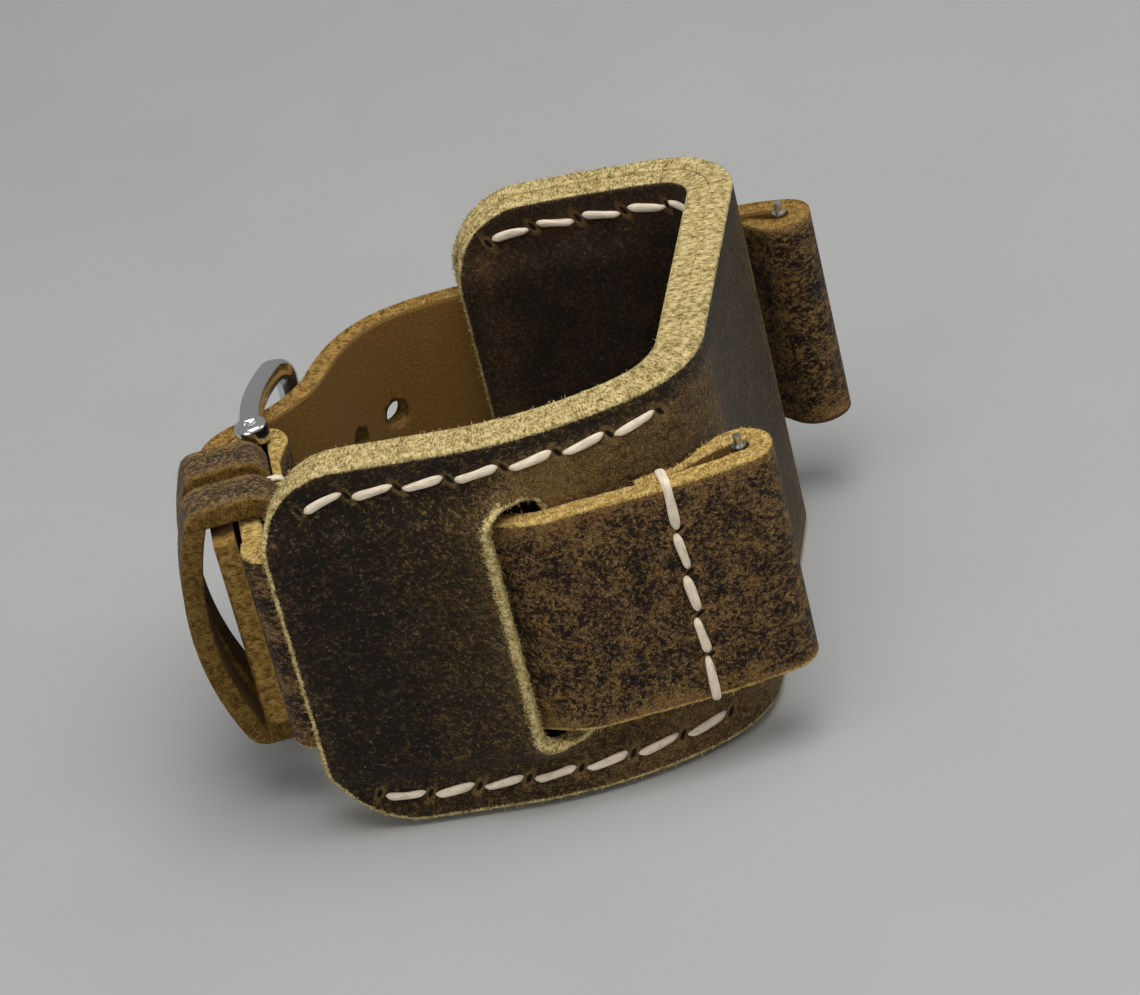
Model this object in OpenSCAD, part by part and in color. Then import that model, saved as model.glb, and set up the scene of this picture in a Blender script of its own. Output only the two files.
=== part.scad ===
// Pass-through watch strap: a two-layer leather pad with a slot in each wing, and a two-piece
// strap that passes through the slots, runs between the layers and closes behind the wrist.
// Millimetres. The origin is the middle of the seat, the flat part of the pad's outer face.
// +X points out of the seat and +Z along the wrist. The near wing lies toward -Y, the far wing
// toward +Y. The strap is closed round a wrist, so its leather has that shape.

/* [Leather] */
// Thickness of the two strap pieces
strap_t = 2.2; // [1.8:0.1:2.6]
// Width of the strap at its lug ends
lug_w = 24; // [22:0.5:26]
// Width of the strap at the buckle and at the tail
buckle_w = 22; // [20:0.5:22]
// Thickness of a turned-back flap where it has been pared down
flap_t = 0.9; // [0.7:0.1:1.2]
// Gap kept between leather surfaces that lie on each other
lie_gap = 0.15; // [0.1:0.05:0.3]

/* [Pad] */
// Width of the pad along the wrist
pad_w = 40.3; // [38:0.5:46]
// Thickness of the pad's outer layer
outer_t = 2.36; // [1.8:0.1:2.8]
// Thickness of the pad's lining layer
lining_t = 2.34; // [1.8:0.1:2.8]
// Corner radius of the wing ends
corner_r = 8.5; // [5:0.5:10]
// Flat length from the middle of the seat to the near bend
near_flat = 15.1; // [13:0.1:17]
// Radius of the near bend, at the joint of the two layers
near_bend_r = 10; // [8:0.5:14]
// Angle of the near bend
near_bend_a = 54.8; // [45:0.1:60]
// Radius of the long sweep that follows the near bend
near_sweep_r = 34.6; // [28:0.2:44]
// Angle of that sweep
near_sweep_a = 31; // [24:0.5:36]
// Straight length at the end of the near wing
near_end = 18.4; // [15:0.2:20]
// Flat length from the middle of the seat to the far bend
far_flat = 14.4; // [13:0.1:16]
// Radius of the far bend, at the joint of the two layers
far_bend_r = 5.8; // [5:0.2:8]
// Angle of the far bend
far_bend_a = 89.7; // [85:0.1:94]
// Length of the far wing past its bend
far_wing = 23.1; // [21:0.2:26]
// Angle through which the far wing curves inward
far_wing_a = 13; // [6:0.5:16]

/* [Slots and tunnels] */
// Width of a slot along the pad
slot_w = 5; // [4.6:0.1:6]
// Length of a slot across the pad
slot_l = 27; // [26:0.2:28]
// Radius of the punched slot corners
slot_r = 1.9; // [1:0.1:2.2]
// Distance from the near wing's end to its slot
near_slot_e = 21.3; // [20:0.1:23]
// Distance from the far wing's end to its slot
far_slot_e = 21.3; // [20:0.1:22]
// Width over which the layers stay full strap thickness apart
tunnel_in_w = 24.4; // [24.2:0.1:25]
// Width at which the layers meet again
tunnel_out_w = 32; // [30:0.2:33]
// Height to which the strap lifts the slot's lip
lip_lift = 2.9; // [2.8:0.1:3.2]

/* [Stitching] */
// Radius of the waxed thread
thread_r = 0.45; // [0.3:0.05:0.5]
// Pitch of the pad's stitches
stitch_pitch = 4.9; // [4:0.1:5.2]
// Stitches in each row on the near wing
near_stitches = 7; // [5:1:7]
// Stitches in each row on the far wing, which end before the seat
far_stitches = 5; // [4:1:5]
// Distance of a pad row from the side edge
stitch_edge = 2.94; // [2.5:0.05:3.2]
// Distance of the first stitch's middle from the wing end
stitch_end = 6.7; // [6:0.1:8]
// Stitches in each row across the strap
cross_stitches = 5; // [4:1:6]
// Distance from the lug bar to the row across the strap
lug_row = 6.6; // [6:0.2:7.2]

/* [Spring bars] */
// Radius of a spring bar's tube
bar_r = 0.9; // [0.75:0.05:1]
// Wall of the tube
bar_wall = 0.26; // [0.2:0.02:0.3]
// Radius of the end pivots
pivot_r = 0.42; // [0.35:0.01:0.45]
// Length of the end pivots
pivot_l = 1.1; // [0.8:0.1:1.4]
// Travel of each end against the spring
tip_travel = 1.2; // [0.8:0.1:1.4]
// Distance of the lug bars from the middle of the seat
bar_span = 23.1; // [22.8:0.1:24]
// Height of the lug bars above the pad
bar_h = 2.5; // [2.3:0.1:3.5]
// Direction in which the strap leaves the near lug bar
near_leave = 205; // [200:1:208]
// Direction in which the strap leaves the far lug bar, seen mirrored
far_leave = 188; // [186:1:192]

/* [Closure] */
// Buckle bar, distance behind the pad
close_x = 47.9; // [47.5:0.1:49]
// Buckle bar, distance toward the near wing
close_y = 9.6; // [9:0.1:10.4]
// Direction in which the short strap runs to the buckle bar
close_a = 106.5; // [104:0.5:109]
// Gap between the short strap and the tail that lies on it
tail_gap = 0.6; // [0.5:0.05:0.8]
// Distance from the buckle bar to the tail's tip
tail_end = 17.6; // [17:0.2:18.4]
// Pitch of the tail's holes
hole_pitch = 6.5; // [6:0.1:7]
// Radius of the tail's holes
hole_r = 1.15; // [1.1:0.05:1.3]

/* [Keepers] */
// Leather thickness of the free keeper
free_t = 2.1; // [1.4:0.1:2.2]
// Leather thickness of the fixed keeper
fixed_t = 1.6; // [1.2:0.1:1.7]
// Width of both keepers along the strap
keeper_w = 5.2; // [4.8:0.1:5.4]
// Height by which the keepers bow out over the tail
keeper_bow = 2.3; // [1.5:0.1:3]
// Distance from the buckle bar to the fixed keeper
fixed_at = 2.2; // [2.1:0.1:2.4]
// Distance from the buckle bar to the free keeper
free_at = 10.2; // [10:0.1:10.4]
// Length of the flap turned back at the buckle
flap_back = 9.2; // [9:0.1:9.4]

/* [Buckle] */
// Distance from the buckle bar to the front bar
buckle_l = 13.8; // [13.4:0.1:14.4]
// Thickness of the frame, out from the wrist
frame_t = 2.2; // [1.8:0.1:2.4]
// Width of the frame's side arms and front bar
arm_w = 2.2; // [1.8:0.1:2.6]
// Height by which the side arms arch
arm_bow = 1.2; // [0.8:0.1:1.6]
// Tilt of the frame about its bar
frame_tilt = -2; // [-3:0.5:0]
// Radius of the tongue at its root
tongue_r = 0.95; // [0.8:0.05:1]
// Angle through which frame and tongue each lift
lift_a = 8; // [6:1:9]

/* [Hidden] */
$fn = 40;
eps = 0.01;

grain = [0.25, 0.16, 0.10];
lining = [0.16, 0.10, 0.07];
suede = [0.52, 0.36, 0.16];
cream = [0.90, 0.84, 0.74];
steel = [0.78, 0.79, 0.80];
brass = [0.70, 0.62, 0.38];

// A place is [x, y, heading]; a run is a list of [length, turn] stretches of steady curvature
near_run = [
    [near_flat, 0],
    [near_bend_r * near_bend_a * PI / 180, -near_bend_a],
    [near_sweep_r * near_sweep_a * PI / 180, -near_sweep_a],
    [near_end, 0]
];
far_run = [
    [far_flat, 0],
    [far_bend_r * far_bend_a * PI / 180, -far_bend_a],
    [far_wing, -far_wing_a]
];
function run_length(run, i = 0) = i == len(run) ? 0 : run[i][0] + run_length(run, i + 1);
near_len = run_length(near_run);
far_len = run_length(far_run);

function step_on(p, l, turn) = abs(turn) < 0.001
    ? [p[0] + l * cos(p[2]), p[1] + l * sin(p[2]), p[2]]
    : let (r = l / (turn * PI / 180))
        [p[0] + r * (sin(p[2] + turn) - sin(p[2])), p[1] - r * (cos(p[2] + turn) - cos(p[2])), p[2] + turn];
function along(p, run, s, i = 0) = (i == len(run) - 1 || s <= run[i][0])
    ? step_on(p, s, run[i][1] * s / run[i][0])
    : along(step_on(p, run[i][0], run[i][1]), run, s - run[i][0], i + 1);

// The joint of the pad's two layers, at distance s from the middle of the seat; the far side is
// worked out mirrored, so that both sides run toward -Y and out of the wrist lies to the left
pad_start = [-outer_t, 0, -90];
function pad_at(run, s) = along(pad_start, run, s);
function off_by(p, d) = [p[0] + d * cos(p[2] + 90), p[1] + d * sin(p[2] + 90), p[2]];

function smooth(t) = let (u = min(1, max(0, t))) u * u * (3 - 2 * u);
function span(a, b, step) = let (n = max(1, ceil((b - a) / step - 0.001))) [for (i = [0:n - 1]) a + (b - a) * i / n];

// How the strap parts the layers: full height across the strap, nothing at the sewn sides
tunnel_half = (strap_t + 2 * lie_gap) / 2;
lip_l = 6;
sink_l = 5;
function across(z) = 1 - smooth((abs(z) - tunnel_in_w / 2) / ((tunnel_out_w - tunnel_in_w) / 2));
function lift_at(s, slot) = s < slot
    ? lip_lift * smooth((s - slot + slot_w) / slot_w)
    : tunnel_half + (lip_lift - tunnel_half) * pow(1 - min(1, (s - slot) / lip_l), 2);
function sink_at(s, slot) = tunnel_half * smooth((s - slot + 1) / sink_l);

// Height of the strap's inner face over the joint of the layers as it dives through a slot, which
// it starts to do a little before the slot, and the angle at which it sinks there
before_slot = 0.7;
dive_l = 10.1;
function dive_at(s, slot) =
    outer_t + lie_gap - (outer_t + lie_gap + strap_t / 2) * smooth((s - slot + slot_w + before_slot) / dive_l);
function dive_angle(s, slot) = atan((dive_at(s - 0.05, slot) - dive_at(s + 0.05, slot)) / 0.1);

near_slot = near_len - near_slot_e;
far_slot = far_len - far_slot_e;

function half_width(e) = e >= corner_r ? pad_w / 2
    : pad_w / 2 - corner_r + sqrt(corner_r * corner_r - pow(corner_r - e, 2));

// One closed ring of points per station, joined to a solid
module loft(rings) {
    m = len(rings[0]);
    n = len(rings);
    points = [for (ring = rings) each ring];
    sides = [for (i = [0:n - 2]) for (k = [0:m - 1])
        let (a = i * m + k, b = i * m + (k + 1) % m, c = b + m, d = a + m)
            each [[a, b, c], [a, c, d]]];
    caps = [for (k = [0:m / 2 - 2])
        let (a = k, b = k + 1, c = m - 2 - k, d = m - 1 - k, e = (n - 1) * m)
            each [[c, b, a], [d, c, a], [e + a, e + b, e + c], [e + a, e + c, e + d]]];
    polyhedron(points = points, faces = concat(sides, caps), convexity = 8);
}

// Stations of a band: [x, y, direction of its outer face, thickness, half width]
module band(stations) {
    loft([for (p = stations)
        let (x = p[0] + p[3] * cos(p[2]), y = p[1] + p[3] * sin(p[2]))
            [[p[0], p[1], -p[4]], [p[0], p[1], p[4]], [x, y, p[4]], [x, y, -p[4]]]]);
}

// A curve that leaves p along its heading and meets q along its own
function curve_at(p, q, k0, k1, t) = let (
    a = [p[0], p[1]], d = [q[0], q[1]],
    b = a + k0 * [cos(p[2]), sin(p[2])], c = d - k1 * [cos(q[2]), sin(q[2])],
    u = 1 - t,
    xy = u * u * u * a + 3 * u * u * t * b + 3 * u * t * t * c + t * t * t * d,
    v = u * u * (b - a) + 2 * u * t * (c - b) + t * t * (d - c))
    [xy[0], xy[1], atan2(v[1], v[0])];
function curve(p, q, k0, k1, n) = [for (i = [0:n]) curve_at(p, q, k0, k1, i / n)];

// The pad
column_at = [-1, -0.8, -0.7, -0.6, 0, 0.6, 0.7, 0.8, 1];
near_step = 2;
far_step = 1.2;
zone_step = 1;
tunnel_step = 3;
corner_step = 15;
function corner_stops(length) = [for (a = [0:corner_step:90]) length - corner_r * (1 - sin(a))];
function pad_stops(flat, slot, length, step) = concat(
    span(flat, slot - slot_w - zone_step, step),
    span(slot - slot_w - zone_step, slot + lip_l, zone_step),
    span(slot + lip_l, length - corner_r, tunnel_step),
    corner_stops(length));

function pad_ring(run, length, slot, s, outer, side) = let (
    p = pad_at(run, s),
    w = half_width(length - s),
    low = [for (v = column_at) let (z = v * w)
        off_by(p, outer ? lift_at(s, slot) * across(z) : -lining_t - sink_at(s, slot) * across(z))],
    high = [for (v = column_at) let (z = v * w)
        off_by(p, outer ? outer_t + lift_at(s, slot) * across(z) : -sink_at(s, slot) * across(z))],
    c = len(column_at))
    concat(
        [for (j = [0:c - 1]) [low[j][0], side * low[j][1], column_at[j] * w]],
        [for (j = [c - 1:-1:0]) [high[j][0], side * high[j][1], column_at[j] * w]]);

module pad_layer(outer) {
    near = pad_stops(near_flat, near_slot, near_len, near_step);
    far = pad_stops(far_flat, far_slot, far_len, far_step);
    far_rings = [for (i = [len(far) - 1:-1:0]) pad_ring(far_run, far_len, far_slot, far[i], outer, -1)];
    near_rings = [for (s = near) pad_ring(near_run, near_len, near_slot, s, outer, 1)];
    loft(concat(far_rings, near_rings));
}

module slot_cut(run, slot) {
    p = pad_at(run, slot - slot_w / 2);
    translate([p[0], p[1], 0])
        rotate([90, 0, p[2] + 180])
            translate([0, 0, -outer_t])
                linear_extrude(3 * outer_t + lip_lift)
                    slot_outline();
}

module slot_outline() {
    x = slot_w / 2 - slot_r;
    y = slot_l / 2 - slot_r;
    square([slot_w, 2 * y], center = true);
    square([2 * x, slot_l], center = true);
    for (i = [-1, 1], j = [-1, 1]) translate([i * x, j * y]) circle(slot_r);
}

module pad_outer() {
    color(grain) difference() {
        pad_layer(true);
        slot_cut(near_run, near_slot);
        mirror([0, 1, 0]) slot_cut(far_run, far_slot);
    }
}

module pad_lining() {
    color(lining) pad_layer(false);
}

// Thread: a round-ended stitch between two holes, on both faces, and what passes through each hole
stitch_gap = 0.36;
leg_r = thread_r * 0.8;
thread_fn = 16;
proud = thread_r / 3;
module point_along(p, q) {
    d = q - p;
    translate(p) rotate([0, acos(d[2] / norm(d)), atan2(d[1], d[0])]) children();
}

module stitch(p, q) {
    l = norm(q - p) - stitch_gap - 2 * thread_r;
    point_along(p, q)
        translate([0, 0, stitch_gap / 2 + thread_r])
            rotate_extrude($fn = thread_fn)
                intersection() {
                    union() {
                        translate([-thread_r, 0]) square([2 * thread_r, l]);
                        circle(thread_r, $fn = thread_fn);
                        translate([0, l]) circle(thread_r, $fn = thread_fn);
                    }
                    translate([0, -thread_r - 1]) square([thread_r + 1, l + 2 * thread_r + 2]);
                }
}

module seam(tops, bottoms, past = 0) {
    for (k = [0:len(tops) - 1])
        point_along(bottoms[k], tops[k])
            translate([0, 0, -past])
                cylinder(r = leg_r, h = norm(tops[k] - bottoms[k]) + 2 * past, $fn = thread_fn);
    for (k = [0:len(tops) - 2]) {
        stitch(tops[k], tops[k + 1]);
        stitch(bottoms[k], bottoms[k + 1]);
    }
}

module pad_seam(run, length, count, z) {
    holes = [for (k = [0:count]) length - stitch_end + stitch_pitch * (0.5 - k)];
    tops = [for (s = holes) let (p = off_by(pad_at(run, s), outer_t + proud)) [p[0], p[1], z]];
    bottoms = [for (s = holes) let (p = off_by(pad_at(run, s), -lining_t - proud)) [p[0], p[1], z]];
    color(cream) seam(tops, bottoms);
}

row_z = pad_w / 2 - stitch_edge;
module near_upper_stitches() pad_seam(near_run, near_len, near_stitches, row_z);
module near_lower_stitches() pad_seam(near_run, near_len, near_stitches, -row_z);
module far_upper_stitches() mirror([0, 1, 0]) pad_seam(far_run, far_len, far_stitches, row_z);
module far_lower_stitches() mirror([0, 1, 0]) pad_seam(far_run, far_len, far_stitches, -row_z);

// Lug end of a strap piece: flap, turn round the bar, and the leaf down to the slot
loop_r = bar_r + 0.1;
flap_len = 9.6;
bar_at = [bar_h, -bar_span];

// The leaf meets the pad before its slot on the near side, and sinks straight into it on the far
near_meet = slot_w + before_slot;
far_meet = 1.5;
near_k = [10, 7];
far_k = [6, 4];
function leaf_start(leave) = off_by([bar_at[0], bar_at[1], leave], loop_r);
function leaf_end(run, slot, meet) = let (
    s = slot - meet,
    p = off_by(pad_at(run, s), dive_at(s, slot)))
    [p[0], p[1], p[2] - dive_angle(s, slot)];
function leaf(run, slot, leave, meet, k, t) =
    curve_at(leaf_start(leave), leaf_end(run, slot, meet), k[0], k[1], t);
function leaf_reach(run, slot, leave, meet) =
    norm([for (i = [0, 1]) leaf_end(run, slot, meet)[i] - leaf_start(leave)[i]]);

// The flap lies under the leaf, pared from full thickness to flap_t
flap_lie = 0.1;
closing_l = 6;
paring_l = 5;
function flap_gap(d) = flap_lie + (2 * loop_r - flap_lie) * (1 - smooth(d / closing_l));
function flap_thick(d) = flap_t + (strap_t - flap_t) * (1 - smooth(d / paring_l));

strap_step = 1.2;
turn_step = 15;
leaf_steps = 8;
function lug_end(run, slot, leave, meet, k) = let (
    reach = leaf_reach(run, slot, leave, meet),
    lean = dive_angle(slot - meet, slot),
    back = concat(span(0, flap_len, strap_step), [flap_len]))
    concat(
        [for (i = [len(back) - 1:-1:1]) let (
            p = leaf(run, slot, leave, meet, k, back[i] / reach),
            q = off_by(p, -flap_gap(back[i])))
            [q[0], q[1], p[2] - 90, flap_thick(back[i]), lug_w / 2]],
        [for (a = [270:-turn_step:90])
            [bar_at[0] + loop_r * cos(leave + a), bar_at[1] + loop_r * sin(leave + a), leave + a, strap_t,
                lug_w / 2]],
        [for (i = [1:leaf_steps]) let (p = leaf(run, slot, leave, meet, k, i / leaf_steps))
            [p[0], p[1], p[2] + 90 + lean * i / leaf_steps, strap_t, lug_w / 2]]);

// The stretch that follows the pad: over the outer layer, through the slot and between the layers
exit_l = 0.2;
function pass_through(run, slot, length, meet) = let (
    start = slot - meet,
    end = length + exit_l,
    stops = concat(span(start, slot + lip_l, strap_step), span(slot + lip_l, end, tunnel_step), [end]))
    [for (i = [1:len(stops) - 1]) let (s = stops[i], p = off_by(pad_at(run, s), dive_at(s, slot)))
        [p[0], p[1], p[2] + 90, strap_t, (lug_w + (buckle_w - lug_w) * (s - start) / (end - start)) / 2]];

function exit_place(run, slot, length) =
    off_by(pad_at(run, length + exit_l), dive_at(length + exit_l, slot));

// Closure, in the real frame: the line from the buckle bar along the short strap
close_bar = [-close_x, -close_y];
function on_line(u, w) = [
    close_bar[0] - u * cos(close_a) + w * cos(close_a + 90),
    close_bar[1] - u * sin(close_a) + w * sin(close_a + 90)];
line_l = 17.9;
turn_k = 1.5;
flap_step = 1.5;
short_path = let (
    from = exit_place(near_run, near_slot, near_len),
    b = on_line(line_l, loop_r))
    concat(
        lug_end(near_run, near_slot, near_leave, near_meet, near_k),
        pass_through(near_run, near_slot, near_len, near_meet),
        [for (i = [1:leaf_steps])
            let (p = curve_at(from, [b[0], b[1], close_a], turn_k, turn_k, i / leaf_steps))
                [p[0], p[1], p[2] + 90, strap_t, buckle_w / 2]],
        [for (a = [90:-turn_step:-90])
            [close_bar[0] + loop_r * cos(close_a + a), close_bar[1] + loop_r * sin(close_a + a), close_a + a,
                strap_t, buckle_w / 2]],
        [for (d = concat(span(flap_step, flap_back, flap_step), [flap_back])) let (p = on_line(d, -loop_r))
            [p[0], p[1], close_a - 90, flap_thick(d), buckle_w / 2]]);

// The tail, worked out mirrored: past the far wing, under the front bar, over the buckle bar
tail_r = loop_r + strap_t + tail_gap;
mir_bar = [-close_x, close_y];
squeeze = [-43.2, -3.4, -262];
over_in = 150;
over_out = -close_a - 180;
hang_k = [9, 8];
rise_k = [4.2, 3.2];
hang_steps = 10;
rise_steps = 7;
over_steps = 6;
over_turn = over_out + 360 - over_in;
function over_bar(h) = [mir_bar[0] + tail_r * cos(h + 90), mir_bar[1] + tail_r * sin(h + 90), h];
tail_path = let (
    from = exit_place(far_run, far_slot, far_len),
    last = over_bar(over_out + 360))
    concat(
        curve(from, squeeze, hang_k[0], hang_k[1], hang_steps),
        [for (i = [1:rise_steps]) curve_at(squeeze, over_bar(over_in), rise_k[0], rise_k[1], i / rise_steps)],
        [for (i = [1:over_steps]) over_bar(over_in + over_turn * i / over_steps)],
        [[last[0] + tail_end * cos(over_out), last[1] + tail_end * sin(over_out), over_out + 360]]);
long_path = concat(
    lug_end(far_run, far_slot, far_leave, far_meet, far_k),
    pass_through(far_run, far_slot, far_len, far_meet),
    [for (i = [1:len(tail_path) - 1]) let (p = tail_path[i]) [p[0], p[1], p[2] + 90, strap_t, buckle_w / 2]]);

module bar_bore(p, w) {
    translate([p[0], p[1], -w]) cylinder(r = loop_r, h = 2 * w);
}

// Room for the tongue where the short strap turns round the buckle bar
gate_w = 3.2;
gate_l = 4.2;
gate_past = 1;
module tongue_gate() {
    fold = strap_t + loop_r + gate_past;
    p = on_line(-fold, 0);
    translate([p[0], p[1], -gate_w / 2])
        rotate([0, 0, close_a + 180])
            translate([0, -fold, 0])
                cube([fold + gate_l, 2 * fold, gate_w]);
}

module short_strap() {
    color(suede) difference() {
        band(short_path);
        bar_bore(bar_at, lug_w);
        bar_bore(close_bar, lug_w);
        tongue_gate();
    }
}

// The buckle's own frame: bar at the origin, front bar at +Y, out at -X. Seen from the side its
// arms are a bow of radius bow_r, and the tongue rests on the front bar's inner edge
rest_gap = 0.09;
tip_r = 0.75;
tip_past = 1.2;
bow_r = (buckle_l * buckle_l / 4 + arm_bow * arm_bow) / (2 * arm_bow);
front = buckle_l + frame_t / 2;
function bow_top(y) = bow_r - arm_bow - sqrt(pow(bow_r + frame_t / 2, 2) - pow(y - buckle_l / 2, 2));
tongue_root = [-0.8, 0];
tongue_rest = [bow_top(front - arm_w) - rest_gap - tip_r, front - arm_w];
tongue_tip = tongue_root + (tongue_rest - tongue_root) * (buckle_l + tip_past) / tongue_rest[1];
module in_buckle(lift = 0) {
    translate([close_bar[0], close_bar[1], 0]) rotate([0, 0, frame_tilt + lift]) children();
}
module along_tongue(from_l, to_l) {
    d = tongue_tip - tongue_root;
    translate([tongue_root[0], tongue_root[1], 0])
        rotate([0, 0, atan2(d[1], d[0])])
            rotate([0, 90, 0])
                translate([0, 0, from_l])
                    children();
}

// Swept by the tongue as it and the frame lift: the long hole that it wears in the tail
sweep_from = 1.5;
sweep_to = 11;
module tongue_sweep() {
    in_buckle(2 * lift_a) along_tongue(sweep_from) cylinder(r = hole_r, h = sweep_to - sweep_from);
    in_buckle(0) along_tongue(sweep_from) cylinder(r = hole_r, h = sweep_to - sweep_from);
    d = tongue_tip - tongue_root;
    a = atan2(d[1], d[0]);
    in_buckle(0)
        translate([0, 0, -hole_r])
            linear_extrude(2 * hole_r)
                polygon(concat(
                    [[0, 0]],
                    [for (k = [0, 0.5, 1]) let (g = a + 2 * lift_a * k)
                        [tongue_root[0] + sweep_to * cos(g), tongue_root[1] + sweep_to * sin(g)]]));
}

// Spare holes at the hole pitch between the tongue's hole and the far wing
tongue_hole = 23.2;
spare_count = 2;
function walk(path, d, i = 0) = let (
    q = path[i + 1] - path[i],
    l = norm([q[0], q[1]]))
    (d <= l || i == len(path) - 2)
        ? [path[i][0] + q[0] * d / l, path[i][1] + q[1] * d / l, atan2(q[1], q[0])]
        : walk(path, d - l, i + 1);
module spare_holes() {
    for (k = [1:spare_count]) let (p = walk(tail_path, tongue_hole - k * hole_pitch))
        translate([p[0], p[1], 0])
            rotate([90, 0, p[2] + 180])
                translate([0, 0, -strap_t])
                    cylinder(r = hole_r, h = 3 * strap_t);
}

module long_strap() {
    color(suede) difference() {
        mirror([0, 1, 0]) band(long_path);
        mirror([0, 1, 0]) bar_bore(bar_at, lug_w);
        mirror([0, 1, 0]) spare_holes();
        tongue_sweep();
    }
}

// Rows across the strap; the first and last stitches wrap over its edges
module cross_seam(top, bottom, w) {
    pitch = w / cross_stitches;
    wrap = w / 2 + thread_r * 0.7;
    zs = concat([-wrap], [for (k = [1:cross_stitches - 1]) -w / 2 + k * pitch], [wrap]);
    color(cream) seam([for (z = zs) [top[0], top[1], z]], [for (z = zs) [bottom[0], bottom[1], z]], proud);
}

module lug_seam(run, slot, leave, meet, k) {
    p = leaf(run, slot, leave, meet, k, lug_row / leaf_reach(run, slot, leave, meet));
    cross_seam(off_by(p, strap_t + proud),
        off_by(p, -flap_gap(lug_row) - flap_thick(lug_row) + leg_r), lug_w);
}
module short_lug_stitches() lug_seam(near_run, near_slot, near_leave, near_meet, near_k);
module long_lug_stitches() mirror([0, 1, 0]) lug_seam(far_run, far_slot, far_leave, far_meet, far_k);

fold_row = 8.3;
module buckle_fold_stitches() {
    cross_seam(on_line(fold_row, loop_r + strap_t - proud),
        on_line(fold_row, -loop_r - flap_thick(fold_row) + proud), buckle_w);
}

// Keepers: a rounded loop seen along the strap, bowed out over the tail
keeper_gap = 0.35;
keeper_corner = 1;
module keeper_outline(low, high, half, grow) {
    r = keeper_corner + grow;
    over_r = (half * half + keeper_bow * keeper_bow) / (2 * keeper_bow);
    intersection() {
        translate([low - grow, -half - grow])
            square([high - low + keeper_bow + 2 * grow, 2 * (half + grow)]);
        union() {
            translate([low - grow + r, -half - grow]) square([high - low + 2 * grow - 2 * r, 2 * (half + grow)]);
            translate([low - grow, -half - grow + r]) square([high - low + 2 * grow, 2 * (half + grow - r)]);
            for (x = [low - grow + r, high + grow - r], y = [-1, 1])
                translate([x, y * (half + grow - r)]) circle(r);
            intersection() {
                translate([high + keeper_bow - over_r, 0]) circle(over_r + grow, $fn = 120);
                translate([low + r, -half - grow]) square([high + keeper_bow + grow - low, 2 * (half + grow)]);
            }
        }
    }
}

module keeper(low, high, half, t, at) {
    p = on_line(at + keeper_w, 0);
    translate([p[0], p[1], 0])
        rotate([90, 0, close_a + 90])
            linear_extrude(keeper_w)
                difference() {
                    keeper_outline(low, high, half, t);
                    keeper_outline(low, high, half, 0);
                }
}

keeper_side = 0.6;
keeper_half = buckle_w / 2 + keeper_side;
keeper_top = loop_r + 2 * strap_t + tail_gap + 0.3;
fixed_gap = 0.2;
module fixed_keeper() {
    color(grain) keeper(loop_r - fixed_gap, keeper_top, keeper_half, fixed_t, fixed_at);
}
module free_keeper() {
    color(suede) keeper(loop_r - keeper_gap, keeper_top, keeper_half, free_t, free_at);
}

// Buckle frame: a bowed ring, seen from the side and from the front, open at its bar
eye_r = 1.7;
arm_gap = 0.4;
arm_in = buckle_w / 2 + arm_gap;
arm_out = arm_in + arm_w;
corner_out = 3.4;
corner_in = 1.4;
blank = 8;
module frame_side() {
    translate([-arm_bow, buckle_l / 2]) intersection() {
        translate([bow_r, 0]) difference() {
            circle(bow_r + frame_t / 2, $fn = 160);
            circle(bow_r - frame_t / 2, $fn = 160);
        }
        translate([-frame_t, -buckle_l / 2]) square([3 * frame_t, buckle_l]);
    }
    circle(eye_r);
    translate([0, buckle_l]) circle(frame_t / 2);
}

module u_shape(reach, half, r, back) {
    translate([-back, -half]) square([reach + back - r, 2 * half]);
    translate([-back, -half + r]) square([reach + back, 2 * (half - r)]);
    for (z = [-1, 1]) translate([reach - r, z * (half - r)]) circle(r);
}
module frame_front() {
    difference() {
        u_shape(front, arm_out, corner_out, blank / 2);
        u_shape(front - arm_w, arm_in, corner_in, blank);
    }
}

pivot_gap = 0.05;
module buckle_frame() {
    color(steel) in_buckle() difference() {
        intersection() {
            translate([0, 0, -1.5 * arm_out]) linear_extrude(3 * arm_out) frame_side();
            translate([-blank / 2, 0, 0]) rotate([90, 0, 90]) linear_extrude(blank) frame_front();
        }
        translate([0, 0, -1.5 * arm_out]) cylinder(r = pivot_r + pivot_gap, h = 3 * arm_out);
    }
}

module tongue_profile() {
    l = norm(tongue_tip - tongue_root);
    polygon([[0, 0], [tongue_r, 0], [tip_r, l], [0, l]]);
    intersection() {
        translate([0, l]) circle(tip_r);
        translate([0, l - tip_r]) square([tip_r, 2 * tip_r]);
    }
}

tube_gap = 0.07;
ring_r = 1.8;
module buckle_tongue() {
    color(steel) in_buckle() difference() {
        union() {
            translate([0, 0, -tongue_r]) cylinder(r = ring_r, h = 2 * tongue_r);
            along_tongue(0) rotate_extrude() tongue_profile();
        }
        translate([0, 0, -2 * tongue_r]) cylinder(r = bar_r + tube_gap, h = 4 * tongue_r);
    }
}

// Spring bars: tube with rolled lips, a spring, and two flanged tips held in by the lips
lip_t = 0.3;
flange_t = 0.55;
flange_r = 0.72;
head_l = 1;
neck_r = 0.9 * pivot_r;
bore_r = bar_r - bar_wall;
bar_gap = 0.06;
stop_gap = 0.02;
function tube_half(w) = w / 2 - flange_t - tip_travel - bar_gap;

module bar_tube(p, w) {
    half = tube_half(w);
    color(steel) translate([p[0], p[1], -half]) difference() {
        cylinder(r = bar_r, h = 2 * half);
        translate([0, 0, lip_t]) cylinder(r = bore_r, h = 2 * half - 2 * lip_t);
        translate([0, 0, -lip_t]) cylinder(r = neck_r + bar_gap, h = 2 * (half + lip_t));
    }
}

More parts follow.
